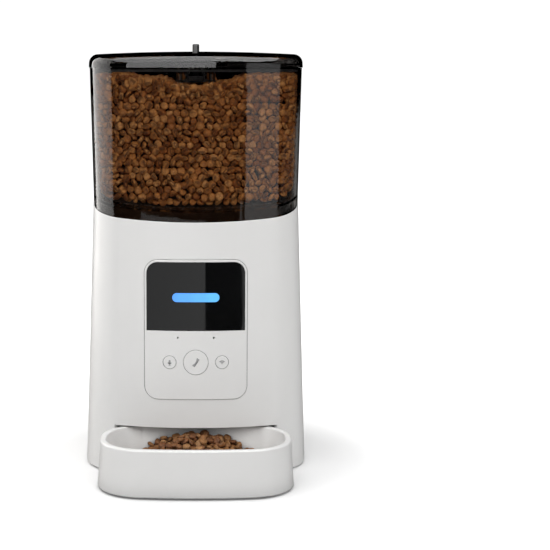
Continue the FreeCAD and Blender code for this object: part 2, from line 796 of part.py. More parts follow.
def food_sensor():
    """The light barrier across the chute: a sender and a receiver outside its two sides."""
    half = chute_half_width(sensor_z - 5) + chute_wall + fit
    return [block(min(side * half, side * (half + 4)), max(side * half, side * (half + 4)),
                  sensor_y() - 4, sensor_y() + 4, sensor_z - 5, sensor_z + 5) for side in (-1, 1)]


# ---------------------------------------------------------------- power
def battery_cells():
    made = []
    for i in range(cell_count):
        x = (i - (cell_count - 1) / 2) * cell_pitch
        way = 1 if i % 2 else -1
        can = rod(cell_radius, x, cell_axis_z, cell_front_y, cell_back_y)
        end = cell_back_y if way > 0 else cell_front_y
        cap_cut = rod(cell_radius + 1, x, cell_axis_z, end - 1.5, end + 1.5)
        keep = rod(4.8, x, cell_axis_z, end - 1.5, end + 1.5)
        made.append(can.cut(cap_cut.cut(keep)))
    return made


def battery_box():
    half = box_half_width
    y0 = box_front_y
    y1 = cell_back_y + box_end_gap
    outer = block(-half, half, y0, y1, plate_top_z, box_top_z)
    foot = block(-half - 5, half + 5, y0 - 5, y1, plate_top_z, plate_top_z + 2)
    inner = block(-half + box_wall, half - box_wall, y0 + box_wall, y1 - box_wall,
                  plate_top_z - 1, box_top_z - box_wall)
    limit = housing_solid(plate_top_z - 1, box_top_z + 1, wall + fit)
    return outer.fuse(foot).cut(inner).common(limit).removeSplitter()


def battery_contacts():
    """Nickel plates at the cells' ends, between the cells and the box."""
    made = []
    for i in range(cell_count):
        x = (i - (cell_count - 1) / 2) * cell_pitch
        for y0, y1 in ((box_front_y + box_wall, cell_front_y),
                       (cell_back_y, cell_back_y + box_end_gap - box_wall)):
            made.append(block(x - 6, x + 6, y0, y1, cell_axis_z - 6, cell_axis_z + 6))
    return made


def power_board():
    rear = housing_outline(inlet_z, wall).half_depth
    z1 = inlet_z - inlet_height / 2
    plate = block(-22, 22, rear - 28, rear - 3, z1 - board_thickness, z1)
    legs = [post(2.2, x, y, box_top_z, z1 - board_thickness)
            for x in (-18, 18) for y in (rear - 24, rear - 12)]
    return fuse([plate] + legs)


def power_board_parts():
    rear = housing_outline(inlet_z, wall).half_depth
    z1 = inlet_z - inlet_height / 2
    return [post(3.4, -16, rear - 23, z1, z1 + 9), post(3.4, -8, rear - 23, z1, z1 + 9),
            block(12, 20, rear - 27, rear - 19, z1, z1 + 4),
            block(-3, 3, rear - 20, rear - 14, z1, z1 + 1.6),
            block(10, 19, rear - 16, rear - 10, z1, z1 + 5.5)]


def power_inlet():
    """The open rectangular supply socket, its mouth in the rear wall."""
    rear = housing_outline(inlet_z).half_depth
    r = inlet_height / 2 - 0.01
    can = plaque(inlet_width, inlet_height, r, 0, inlet_z, rear - 8.5, rear - 0.8)
    hollow = plaque(inlet_width - 0.7, inlet_height - 0.7, r - 0.35, 0, inlet_z,
                    rear - 7.5, rear)
    tongue = block(-3.3, 3.3, rear - 8, rear - 2.4, inlet_z - 0.35, inlet_z + 0.35)
    return can.cut(hollow).fuse(tongue)


# ---------------------------------------------------------------- control panel
def surface(out):
    """The housing's outline grown by out, as a solid, for the pieces that follow its front."""
    return housing_solid(20, rim_mid_z + 40, -out)


def front_edges(piece, proud):
    """The edges round the front face of a piece whose front follows the housing, proud of it."""
    found = []
    for edge in piece.Edges:
        spots = [edge.valueAt(edge.FirstParameter + (edge.LastParameter - edge.FirstParameter) * t)
                 for t in (0.2, 0.5, 0.8)]
        gaps = []
        for p in spots:
            outline = housing_outline(p.z, -proud)
            reach = outline.half_depth - outline.bow + math.sqrt(outline.bow ** 2 - p.x ** 2)
            gaps.append(abs(-(p.y - axis_y) - reach))
        if max(gaps) < 0.05:
            found.append(edge)
    return found


def panel_bezel():
    flange = panel_prism(0).common(surface(panel_proud))
    flange = flange.makeFillet(panel_edge, front_edges(flange, panel_proud))
    flange = flange.cut(surface(-panel_seat_depth))
    plug = panel_prism(panel_ledge).common(surface(-panel_seat_depth + 0.2))
    plug = plug.cut(surface(-panel_depth))
    bosses = []
    for x, z in panel_screw_places():
        boss = rod(3.0, x, z, -BIG, board_front_y).common(surface(-panel_depth + 0.4))
        bosses.append(boss)
    bezel = fuse([flange, plug] + bosses)
    pocket = window_prism(-0.1).cut(surface(panel_proud - window_thickness - 0.05))
    bezel = bezel.cut(pocket)
    bezel = bezel.cut(light_bar_prism(-0.15))
    for side in (-1, 1):
        bezel = bezel.cut(rod(sound_hole_radius, side * sound_hole_x, sound_hole_z, -BIG, 0))
    for x, radius in button_places():
        bezel = bezel.cut(rod(radius + button_gap, x, button_z, -BIG, 0))
    for x, z in panel_screw_places():
        bezel = bezel.cut(rod(1.05, x, z, board_front_y - 6, board_front_y + 1))
    return bezel


def panel_screw_places():
    return [(sx * (panel_width / 2 - 9), panel_centre_z + sz * (panel_height / 2 - 10))
            for sx in (-1, 1) for sz in (-1, 1)]


def window_prism(inset):
    top = plaque(panel_width - 2 * (window_inset + inset), panel_height - 2 * (window_inset + inset),
                 panel_corner - window_inset - inset, 0, panel_centre_z, -BIG, 0)
    return top.cut(block(-BIG, BIG, -BIG, BIG, 0, window_bottom_z + inset))


def light_bar_prism(inset):
    height = light_bar_height - 2 * inset
    return plaque(light_bar_width - 2 * inset, height, height / 2 - 0.01, 0, light_bar_z, -BIG, 0)


def display_window():
    window = window_prism(0).common(surface(panel_proud))
    window = window.cut(surface(panel_proud - window_thickness))
    return window.cut(light_bar_prism(-0.1))


def light_guide():
    return light_bar_prism(0).common(surface(panel_proud)).cut(
        block(-BIG, BIG, board_front_y - 2.5, BIG, 0, BIG))


def button_places():
    return [(0.0, feed_button_radius), (-side_button_x, side_button_radius),
            (side_button_x, side_button_radius)]


def switch_tip_y():
    return board_front_y - 4.2


def button(x, radius):
    """A push button: cap, retaining collar behind the bezel, and a foot that meets its switch."""
    collar_front = board_front_y - 7.7
    proud = panel_proud + button_proud
    cap = rod(radius, x, button_z, -BIG, collar_front + 0.1).common(surface(proud))
    cap = cap.makeFillet(button_edge, front_edges(cap, proud))
    collar = rod(radius + 1.2, x, button_z, collar_front, collar_front + 1.2)
    foot = rod(2.0, x, button_z, collar_front + 1.2, switch_tip_y() - button_travel - 0.2)
    return fuse([cap, collar, foot])


def control_board():
    half = panel_width / 2 - 4
    board = block(-half, half, board_front_y, board_front_y + board_thickness,
                  panel_centre_z - panel_height / 2 + 6, panel_centre_z + panel_height / 2 - 6)
    for x, z in panel_screw_places():
        board = board.cut(rod(1.3, x, z, board_front_y - 1, board_front_y + board_thickness + 1))
    return board


def panel_screws():
    y = board_front_y + board_thickness
    return [screw(at(x, y, z), (0, 1, 0), 5.5, 1.0, 2.2, 1.4) for x, z in panel_screw_places()]


def tact_switches():
    made = []
    for x, radius in button_places():
        body = block(x - 3, x + 3, board_front_y - 3.3, board_front_y, button_z - 3, button_z + 3)
        made.append(body.fuse(rod(1.6, x, button_z, switch_tip_y(), board_front_y - 3.3)))
    return made


def status_leds():
    return [block(x - 1.75, x + 1.75, board_front_y - 1.2, board_front_y,
                  light_bar_z - 1.4, light_bar_z + 1.4) for x in (-13, 0, 13)]


def microphone():
    return rod(2.2, -sound_hole_x, sound_hole_z, board_front_y - 1.6, board_front_y)


def radio_module():
    y = board_front_y + board_thickness
    base = block(-9, 9, y, y + 0.8, light_bar_z - 18, light_bar_z + 8)
    can = block(-8, 8, y + 0.8, y + 3.2, light_bar_z - 17, light_bar_z)
    return base.fuse(can)


def speaker():
    rear = housing_outline(speaker_z + speaker_radius, wall).half_depth - 3.2
    cone = Part.makeCone(10, speaker_radius, 6, at(0, rear - 8, speaker_z), V(0, 1, 0))
    rim = rod(speaker_radius + 1.0, 0, speaker_z, rear - 2.0, rear)
    magnet = rod(12.5, 0, speaker_z, rear - 15, rear - 8)
    dish = Part.makeCone(8, speaker_radius - 2.5, 4, at(0, rear - 4, speaker_z), V(0, 1, 0))
    return fuse([cone, rim, magnet]).cut(dish)


def speaker_gasket():
    rear = housing_outline(speaker_z + speaker_radius, wall).half_depth - 3.2
    ring = rod(speaker_radius + 1.0, 0, speaker_z, rear, BIG / 2)
    ring = ring.cut(rod(speaker_radius - 2.5, 0, speaker_z, rear - 1, BIG / 2 + 1))
    return ring.common(surface(-wall))


# ---------------------------------------------------------------- feeding tray
def feeding_tray():
    outer = loft([tray_outline(tray_bottom_z).wire(tray_bottom_z),
                  tray_outline(tray_rim_z).wire(tray_rim_z)])
    rim_in = tray_outline(tray_rim_z, tray_rim_width)
    floor_in = tray_outline(tray_floor_z, tray_floor_inset)
    slope = (tray_floor_inset - tray_rim_width) / (tray_rim_z - tray_floor_z)
    above = rim_in.inset(-slope * 2)
    bowl = loft([floor_in.wire(tray_floor_z), above.wire(tray_rim_z + 2)])
    floor_edges = [e for e in bowl.Edges if abs(e.CenterOfMass.z - tray_floor_z) < 0.01]
    bowl = bowl.makeFillet(7.0, floor_edges)
    tray = outer.cut(bowl)
    rim_edges = [e for e in tray.Edges if abs(e.CenterOfMass.z - tray_rim_z) < 0.01]
    tray = tray.makeFillet(1.8, rim_edges)
    foot_edges = [e for e in tray.Edges if abs(e.CenterOfMass.z - tray_bottom_z) < 0.01]
    tray = tray.makeFillet(1.0, foot_edges)
    hollow_top = tray_floor_z - tray_wall
    hollow = loft([tray_outline(tray_bottom_z, tray_wall).wire(tray_bottom_z - 1),
                   tray_outline(hollow_top, tray_wall).wire(hollow_top)])
    tray = tray.cut(hollow)
    pads = [post(6.5, x, y, tray_bottom_z, hollow_top + 0.5) for x, y in tray_pad_places()]
    return fuse([tray] + pads)


def tray_pad_places():
    return [(sx * (tray_half_width - 34), -tray_forward + sy * (tray_half_depth - 20))
            for sx in (-1, 1) for sy in (-1, 1)]


def tray_feet():
    return [post(5.5, x, y, 0, tray_bottom_z) for x, y in tray_pad_places()]


# ---------------------------------------------------------------- tank
def hopper_tank():
    """The see-through wall above the rim, with the ledge inside it that the funnel is bonded under."""
    wall_bottom = rim_front_z - 5
    outer = tank_solid(wall_bottom, seam_z)
    inner = tank_solid(wall_bottom - 1, seam_z + 1, tank_wall)
    shell = outer.cut(inner).cut(under_rim(rim_gap))
    ledge = outer.cut(under_rim(rim_gap + tank_ledge_rise - tank_wall)).cut(skirt_hollow())
    ledge = ledge.common(under_rim(rim_gap + tank_ledge_rise))
    lugs = [catch_lug(side) for side in (-1, 1)]
    return fuse([shell, ledge] + lugs)


def hopper_funnel():
    """The skirt that stands inside the housing, the funnel under it and the spout into the cup."""
    skirt = loft([skirt_outline().wire(skirt_bottom_z), skirt_outline().wire(seam_z)])
    skirt = skirt.cut(skirt_hollow()).common(under_rim(rim_gap + tank_ledge_rise - tank_wall))
    spigot_z = cup_top_z + 3.4
    outlet = spigot_radius - skirt_wall
    funnel = loft([circle_like(spigot_radius, spigot_z), skirt_outline().wire(skirt_bottom_z)])
    hollow = loft([circle_like(outlet, spigot_z), skirt_outline(skirt_wall).wire(skirt_bottom_z)])
    spigot = post(spigot_radius, 0, 0, cup_top_z - 1.6, spigot_z)
    spigot = spigot.cut(post(outlet, 0, 0, cup_top_z - 3, spigot_z + 1))
    return fuse([skirt, funnel.cut(hollow), spigot])


def skirt_hollow():
    """The space inside the skirt."""
    inside = skirt_outline(skirt_wall)
    return loft([inside.wire(skirt_bottom_z - 1), inside.wire(seam_z)])


def skirt_outline(inset=0.0):
    """The skirt stands upright and clears the narrowest part of the rim, so the tank lifts out."""
    return housing_outline(rim_back_z, wall + skirt_gap + inset)


def circle_like(radius, z):
    """A circle split where an outline is, so that the two can be lofted."""
    (x1, y1), middle, (x2, y2) = skirt_outline().quarter()
    a2 = math.atan2(y2, x2)
    a1 = math.atan2(y1, x1)
    stops = [-a2, a2, a1, math.pi - a1, math.pi - a2, math.pi + a2, math.pi + a1, -a1]
    stops.append(-a2 + 2 * math.pi)
    stops[7] += 2 * math.pi
    edges = []
    for s0, s1 in zip(stops, stops[1:]):
        angles = (s0, (s0 + s1) / 2, s1)
        arc = [at(radius * math.cos(a), radius * math.sin(a), z) for a in angles]
        edges.append(Part.Arc(*arc).toShape())
    return Part.Wire(edges)


def tank_mouth_y(side):
    """How far the tank's inner wall is from the axis at the latch bolts, front or back."""
    outline = tank_outline(bolt_bottom_z, tank_wall)
    return outline.half_depth + side * outline.shift


def catch_lug(side):
    """A ledge inside the tank's mouth that a latch bolt goes under."""
    y0, y1 = sorted((side * (tank_mouth_y(side) - latch_catch),
                     side * (tank_mouth_y(side) + tank_wall / 2)))
    return block(-9, 9, y0, y1, lug_bottom_z, lug_bottom_z + catch_thickness)


# ---------------------------------------------------------------- lid
def lid_solid(inset, z0):
    """The lid's outside, or its inside when inset, down to z0."""
    outline = tank_outline(seam_z, inset - lid_overhang)
    prism = loft([outline.wire(z0), outline.inset(0.8).wire(lid_top_z + 4)])
    radius = lid_crown_radius
    top = lid_top_z - inset
    dome = Part.makeSphere(radius, at(0, 0, top - radius))
    capped = prism.common(dome)
    edges = []
    for edge in capped.Edges:
        middle = edge.CenterOfMass
        flat = abs(edge.Vertexes[0].Z - edge.Vertexes[-1].Z) < 1.5
        if flat and middle.z > z0 + 5:
            edges.append(edge)
    return capped.makeFillet(lid_edge_radius - inset, edges)


def lid_shell():
    lid = lid_solid(0, lid_bottom_z).cut(lid_solid(lid_wall, lid_bottom_z - 1))
    collar_top = lid_bottom_z + 1.6
    collar = tank_band(tank_wall + lid_collar_gap, seal_inset + 1.2, seam_z - lid_collar, collar_top)
    link = tank_band(0, seal_inset + 1.2, lid_bottom_z, collar_top)
    groove = tank_band(tank_wall, seal_inset, seam_z - 3.4, seam_z - 1.2)
    ceiling = lid_top_z - lid_wall / 2
    boss = post(10.5, 0, 0, disc_bottom_z + latch_disc_thickness + 0.5, ceiling)
    pillars = [post(3.4, x, y, bolt_bottom_z, ceiling) for x, y in guide_ears()]
    cup = post(knob_dish_radius + 1.8, 0, 0, lid_top_z - knob_dish_depth - lid_wall, ceiling)
    x, y = desiccant_x, desiccant_y
    holder = post(desiccant_radius + 1.6, x, y, ceiling - 6.0, ceiling)
    holder = holder.cut(post(desiccant_radius + 0.1, x, y, ceiling - 10.0, ceiling + 1))
    inside = lid_solid(lid_wall / 2, seam_z - 40)
    hung = [piece.common(inside) for piece in [boss, cup, holder] + pillars]
    lid = fuse([lid, collar.cut(groove), link] + hung)
    lid = lid.cut(post(knob_dish_radius, 0, 0, lid_top_z - knob_dish_depth, lid_top_z + 5))
    lid = lid.cut(post(shaft_radius + bearing_gap, 0, 0, seam_z - 10, lid_top_z + 5))
    for x, y in guide_ears():
        lid = lid.cut(post(1.2, x, y, bolt_bottom_z - 1, bolt_bottom_z + 7))
    return lid


def tank_band(outer, inner, z0, z1):
    """An upright ring that follows the tank's mouth, between two insets from its outer face."""
    wide = tank_outline(seam_z, outer)
    narrow = tank_outline(seam_z, inner)
    ring = loft([wide.wire(z0), wide.wire(z1)])
    return ring.cut(loft([narrow.wire(z0 - 1), narrow.wire(z1 + 1)]))


def crown_drop(reach):
    """How much lower the lid's crown is at a distance from its middle."""
    return lid_crown_radius - math.sqrt(lid_crown_radius ** 2 - reach ** 2)


def desiccant_top_z():
    reach = math.hypot(desiccant_x, desiccant_y) + desiccant_radius
    return lid_top_z - lid_wall - crown_drop(reach) - fit


def lid_seal():
    """The rubber ring in the groove round the lid's inner collar."""
    return tank_band(tank_wall + 0.25, seal_inset, seam_z - 3.3, seam_z - 1.3)


def guide_ears():
    return [(sx * (bolt_width / 2 + 8), sy * guide_ear_y) for sx in (-1, 1) for sy in (-1, 1)]


def latch_guide():
    """The channel under the lid that the two bolts slide in."""
    z1 = bolt_bottom_z
    z0 = z1 - guide_floor
    half = bolt_width / 2
    length = tank_mouth_y(-1) - latch_catch - 6
    floor = block(-half - 2.1, half + 2.1, -length, length, z0, z1)
    rails = [block(s * (half + 1.2) - 0.9, s * (half + 1.2) + 0.9, -length, length, z1, rail_top_z)
             for s in (-1, 1)]
    ears = [post(4.0, x, y, z0, z1) for x, y in guide_ears()]
    arms = [block(-half - 8, half + 8, sy * guide_ear_y - 3, sy * guide_ear_y + 3, z0, z1)
            for sy in (-1, 1)]
    guide = fuse([floor] + rails + ears + arms)
    for x, y in guide_ears():
        guide = guide.cut(post(1.5, x, y, z0 - 1, z1 + 1))
    return guide


def latch_screws():
    z0 = bolt_bottom_z - guide_floor
    return [screw(at(x, y, z0), (0, 0, -1), 6.5, 1.15, 2.4, 1.4) for x, y in guide_ears()]


def latch_bolt(side):
    """A sliding bolt; its stepped pin rides in the disc's spiral slot. It is drawn in at rest."""
    tip = side * (tank_mouth_y(side) - latch_catch - 1.0)
    half = bolt_width / 2 - 0.15
    y0, y1 = sorted((side * (spiral_start - 3.0), tip))
    bar = block(-half, half, y0, y1, bolt_bottom_z + 0.15, bolt_top_z)
    nose = [at(-half - 1, tip, bolt_bottom_z - 1), at(-half - 1, tip - side * 3, bolt_top_z + 1),
            at(-half - 1, tip + side * 3, bolt_top_z + 1)]
    bar = bar.cut(Part.Face(Part.makePolygon(nose + nose[:1])).extrude(V(2 * half + 2, 0, 0)))
    pin_y = side * spiral_start
    thick = post(bolt_pin_radius + 0.8, 0, pin_y, bolt_top_z - 0.5, rail_top_z)
    thin = post(bolt_pin_radius, 0, pin_y, rail_top_z - 0.5,
                disc_bottom_z + latch_disc_thickness - 0.3)
    return fuse([bar, thick, thin])


def spiral_slot(side):
    """The slot that moves a pin out evenly as the disc turns a quarter turn."""
    half = bolt_pin_radius + 0.15
    steps = 10
    slot = None
    z0 = disc_bottom_z - 1
    z1 = disc_bottom_z + latch_disc_thickness + 1
    spots = []
    for i in range(-1, steps + 2):
        turn = math.radians(spiral_turn) * i / steps
        radius = spiral_start + latch_travel * i / steps
        angle = side * math.pi / 2 - turn
        spots.append((radius * math.cos(angle), radius * math.sin(angle)))
    for a, b in zip(spots, spots[1:]):
        length = math.hypot(b[0] - a[0], b[1] - a[1])
        step = Part.makeBox(length, 2 * half, z1 - z0, at(a[0], a[1] - half, z0))
        step.rotate(at(a[0], a[1], z0), V(0, 0, 1), math.degrees(math.atan2(b[1] - a[1], b[0] - a[0])))
        piece = step.fuse(post(half, b[0], b[1], z0, z1)).fuse(post(half, a[0], a[1], z0, z1))
        slot = piece if slot is None else slot.fuse(piece)
    return slot


def latch_disc():
    disc = post(latch_disc_radius, 0, 0, disc_bottom_z, disc_bottom_z + latch_disc_thickness)
    disc = disc.cut(post(shaft_radius + press_gap, 0, 0, 0, BIG))
    for side in (-1, 1):
        disc = disc.cut(spiral_slot(side))
    return disc


def lock_knob():
    """The knob: a round foot in the lid's dish, a grip blade across it, and its stem."""
    floor = lid_top_z - knob_dish_depth
    foot = Part.makeCone(knob_radius, knob_radius - 1.2, 2.4, at(0, 0, floor + 0.2))
    blade = slab(knob_blade_width, 2 * knob_radius - 3, 1.8, 0, 0, floor + 1.5,
                 lid_top_z + knob_blade_top)
    top_edges = [e for e in blade.Edges if abs(e.CenterOfMass.z - lid_top_z - knob_blade_top) < 0.01]
    blade = blade.makeFillet(1.2, top_edges)
    stem = post(shaft_radius, 0, 0, disc_bottom_z + 0.3, floor + 1)
    knob = fuse([foot, blade, stem])
    return knob.cut(post(1.1, 0, 0, disc_bottom_z - 1, disc_bottom_z + 8))


def knob_screw():
    """Holds the disc on the knob's stem."""
    return screw(at(0, 0, disc_bottom_z), (0, 0, -1), 7.5, 1.05, shaft_radius + 1.0, 1.6)


def desiccant_box():
    z1 = desiccant_top_z()
    z0 = z1 - desiccant_height
    x, y = desiccant_x, desiccant_y
    return post(desiccant_radius, x, y, z0, z1).cut(
        post(desiccant_radius - 1.4, x, y, z0 - 1, z1 - 1.4))


def desiccant_cap():
    """The slotted cap that closes the drying box from below."""
    z0 = desiccant_top_z() - desiccant_height
    x, y = desiccant_x, desiccant_y
    cap = post(desiccant_radius, x, y, z0 - 1.6, z0)
    cap = cap.fuse(post(desiccant_radius - 1.5, x, y, z0 - 0.8, z0 + 1.6))
    cap = cap.cut(post(desiccant_radius - 2.7, x, y, z0, z0 + 3))
    for i in range(-3, 4):
        half = math.sqrt((desiccant_radius - 5) ** 2 - (4.4 * i) ** 2)
        slot = Part.makeBox(2 * half, 1.6, 6, at(x - half, y + 4.4 * i - 0.8, z0 - 3))
        cap = cap.cut(slot)
    return cap


# ---------------------------------------------------------------- export
def nodes():
    return {
        "body_shell": body_shell(), "base_plate": base_plate(), "rubber_feet": rubber_feet(),
        "base_screws": base_screws(), "chassis": chassis(), "battery_door": battery_door(),
        "battery_box": battery_box(), "battery_cells": battery_cells(),
        "battery_contacts": battery_contacts(), "power_board": power_board(),
        "power_board_parts": power_board_parts(), "power_inlet": power_inlet(),
        "dispenser_cup": dispenser_cup(), "cup_screws": cup_screws(), "drop_guard": drop_guard(),
        "portion_rotor": portion_rotor(), "agitator": agitator(), "rotor_shaft": rotor_shaft(),
        "output_gear": output_gear(), "idler_gear": idler_gear(), "idler_axle": idler_axle(),
        "motor_pinion": motor_pinion(), "gearbox_case": gearbox_case(),
        "gearbox_cover": gearbox_cover(), "gearbox_screws": gearbox_screws(),
        "gear_motor": gear_motor(), "chute": chute(), "food_sensor": food_sensor(),
        "panel_bezel": panel_bezel(), "display_window": display_window(),
        "light_guide": light_guide(), "control_board": control_board(),
        "panel_screws": panel_screws(), "tact_switches": tact_switches(),
        "status_leds": status_leds(), "microphone": microphone(), "radio_module": radio_module(),
        "speaker": speaker(), "speaker_gasket": speaker_gasket(),
        "feed_button": button(*button_places()[0]), "record_button": button(*button_places()[1]),
        "pairing_button": button(*button_places()[2]),
        "feeding_tray": feeding_tray(), "tray_feet": tray_feet(), "hopper_tank": hopper_tank(),
        "hopper_funnel": hopper_funnel(),
        "lid_shell": lid_shell(), "lid_seal": lid_seal(), "latch_guide": latch_guide(),
        "latch_screws": latch_screws(), "latch_bolt_front": latch_bolt(-1),
        "latch_bolt_rear": latch_bolt(1), "latch_disc": latch_disc(), "lock_knob": lock_knob(),
        "knob_screw": knob_screw(), "desiccant_box": desiccant_box(),
        "desiccant_cap": desiccant_cap(),
    }


def main():
    os.makedirs("parts", exist_ok=True)
    for name, shape in nodes().items():
        if isinstance(shape, list):
            shape = Part.makeCompound(shape)
        shape.exportStep("parts/" + name + ".step")


main()
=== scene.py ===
# %% [markdown]
# # A pet feeder, from bare frame to finished look
# The feeder's working shapes come from the CAD model, already in place and in metres.
# This lesson keeps those shapes and gives them what a CAD model lacks: plastics with a
# grain, a smoked tank that really bends light, a load of dry food, and a studio to see
# it all in. Whatever is built here rides on the CAD body that would carry it.

# %% Load the frame
import json
import math

import bmesh
import bpy
import numpy as np
from mathutils import Euler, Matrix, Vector
from mathutils.bvhtree import BVHTree

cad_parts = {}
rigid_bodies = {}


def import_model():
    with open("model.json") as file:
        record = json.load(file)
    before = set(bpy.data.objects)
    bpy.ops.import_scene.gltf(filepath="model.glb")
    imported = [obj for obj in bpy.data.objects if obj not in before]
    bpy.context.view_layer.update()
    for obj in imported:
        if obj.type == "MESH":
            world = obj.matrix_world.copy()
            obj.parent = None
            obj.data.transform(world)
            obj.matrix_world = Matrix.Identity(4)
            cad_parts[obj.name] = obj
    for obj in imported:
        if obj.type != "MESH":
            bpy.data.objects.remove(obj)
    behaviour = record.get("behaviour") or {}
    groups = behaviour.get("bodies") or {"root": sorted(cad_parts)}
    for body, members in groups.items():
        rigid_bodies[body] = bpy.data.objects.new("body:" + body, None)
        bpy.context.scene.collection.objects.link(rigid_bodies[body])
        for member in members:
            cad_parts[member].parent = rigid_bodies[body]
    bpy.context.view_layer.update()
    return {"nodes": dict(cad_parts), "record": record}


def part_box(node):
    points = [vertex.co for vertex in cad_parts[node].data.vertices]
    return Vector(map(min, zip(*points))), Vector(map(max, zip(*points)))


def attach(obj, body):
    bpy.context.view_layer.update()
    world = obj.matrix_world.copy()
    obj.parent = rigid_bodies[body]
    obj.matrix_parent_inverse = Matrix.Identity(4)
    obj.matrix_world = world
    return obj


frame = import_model()
MM = 0.001

# %% [markdown]
# ## The camera
# A product picture is taken from far away with a long lens, so that upright edges stay
# nearly upright. The camera stands level with the lid and looks down a little. The
# feeder sits left of the middle of the picture, and the lens is shifted for that
# instead of turned, because turning it would make the right side look smaller.

# %% Camera
LENS_LENGTH, SENSOR_WIDTH = 90.4, 36.0      # in millimetres, as on a real lens
SIDE_SHIFT = 0.144                          # share of the picture's width
CAMERA_PLACE, LOOK_DOWN = (0.0, -1.2155, 0.354), 8.72
lens = bpy.data.cameras.new("studio_lens")
lens.lens, lens.sensor_width = LENS_LENGTH, SENSOR_WIDTH
lens.shift_x = SIDE_SHIFT
camera = bpy.data.objects.new("studio_camera", lens)
camera.location = CAMERA_PLACE
camera.rotation_euler = Euler((math.radians(90 - LOOK_DOWN), 0.0, 0.0))
bpy.context.scene.collection.objects.link(camera)
bpy.context.scene.camera = camera
bpy.context.scene.view_settings.view_transform = "Standard"
print("camera at", tuple(camera.location), "lens", lens.lens, "mm")

# %% [markdown]
# ## Small helpers for shader nodes
# A material is a small drawing of boxes and wires. These helpers keep that drawing
# readable: add puts in a box and fills its inputs, and the others are short ways to ask
# for the boxes used most. An input given as a socket is wired, and any other value is
# typed in.

# %% Node helpers
def add(tree, kind, inputs=None, **settings):
    """Adds a node, sets it up, and fills its inputs with values or with other nodes' outputs."""
    node = tree.nodes.new(kind)
    for name, value in settings.items():
        setattr(node, name, value)
    for name, value in (inputs or {}).items():
        if isinstance(value, bpy.types.NodeSocket):
            tree.links.new(value, node.inputs[name])
        else:
            node.inputs[name].default_value = value
    return node


def new_group(name, inputs, outputs):
    """An empty shader node group; returns it with its inlet node and outlet node."""
    group = bpy.data.node_groups.new(name, "ShaderNodeTree")
    for label, kind, value in inputs:
        socket = group.interface.new_socket(label, in_out="INPUT", socket_type=kind)
        socket.default_value = value
    for label, kind in outputs:
        group.interface.new_socket(label, in_out="OUTPUT", socket_type=kind)
    return group, group.nodes.new("NodeGroupInput"), group.nodes.new("NodeGroupOutput")


def use(tree, group, inputs=None):
    """Puts a group into a material."""
    return add(tree, "ShaderNodeGroup", inputs, node_tree=group)


def calc(tree, operation, *values):
    """One sum or product, as a socket."""
    return add(tree, "ShaderNodeMath", dict(enumerate(values)), operation=operation).outputs[0]


def remap(tree, value, low, high, to_low=0.0, to_high=1.0):
    """Stretches the range low to high onto another range, as a socket."""
    return add(tree, "ShaderNodeMapRange", {"Value": value, "From Min": low, "From Max": high,
               "To Min": to_low, "To Max": to_high}).outputs[0]


def object_place(tree):
    """Each point's place on the object, which stays with the object when it moves."""
    return add(tree, "ShaderNodeTexCoord").outputs["Object"]


FLOAT, COLOUR, VECTOR = "NodeSocketFloat", "NodeSocketColor", "NodeSocketVector"
print("node helpers ready")

# %% [markdown]
# ## The studio
# White plastic needs a bright, even room, and smoked plastic needs dark gaps between its
# lights, or it turns grey. So the room's light falls on everything but isn't mirrored.
# The cards come in two kinds: some are only mirrored, and draw the bright strips on the
# tank, and the others only light. The floor is plain and pale and runs out of sight.

# %% Floor
FADE_START, FADE_END, NEAR_GLOW = 0.11, 0.30, 0.10   # the paper glows more, further out
floor_mesh = bpy.data.meshes.new("floor")
floor_mesh.from_pydata([(-4, -0.9, 0), (4, -0.9, 0), (4, 9, 0), (-4, 9, 0)], [], [(0, 1, 2, 3)])
floor = bpy.data.objects.new("floor", floor_mesh)
bpy.context.scene.collection.objects.link(floor)
floor.visible_glossy = False
paper = bpy.data.materials.new("white_paper")
paper.use_nodes = True
sheet = paper.node_tree.nodes["Principled BSDF"]
sheet.inputs["Base Color"].default_value = (0.84, 0.84, 0.84, 1)
sheet.inputs["Roughness"].default_value = 0.9
sheet.inputs["Specular IOR Level"].default_value = 0.1
sheet.inputs["Emission Color"].default_value = (1, 1, 1, 1)
seen = add(paper.node_tree, "ShaderNodeLightPath")
apart = add(paper.node_tree, "ShaderNodeVectorMath", {0: object_place(paper.node_tree)},
            operation="LENGTH")
fade = add(paper.node_tree, "ShaderNodeMapRange", {
    "Value": apart.outputs["Value"], "From Min": FADE_START, "From Max": FADE_END,
    "To Min": NEAR_GLOW, "To Max": 1.0}, interpolation_type="SMOOTHSTEP")
lift = calc(paper.node_tree, "MULTIPLY", seen.outputs["Is Camera Ray"], fade.outputs[0])
paper.node_tree.links.new(lift, sheet.inputs["Emission Strength"])
floor_mesh.materials.append(paper)
print("floor", [round(v, 2) for v in floor.dimensions])

# %% Room light
room = bpy.data.worlds.new("white_room")
bpy.context.scene.world = room
room.use_nodes = True
ways = add(room.node_tree, "ShaderNodeLightPath")
ROOM_LIGHT, ROOM_SEEN = 0.30, 1.05
level = remap(room.node_tree, ways.outputs["Is Camera Ray"], 0.0, 1.0, ROOM_LIGHT, ROOM_SEEN)
room.node_tree.links.new(level, room.node_tree.nodes["Background"].inputs["Strength"])
room.node_tree.nodes["Background"].inputs["Color"].default_value = (1, 1, 1, 1)
room.cycles_visibility.glossy = False
room.cycles_visibility.transmission = False
print("room light", ROOM_LIGHT)


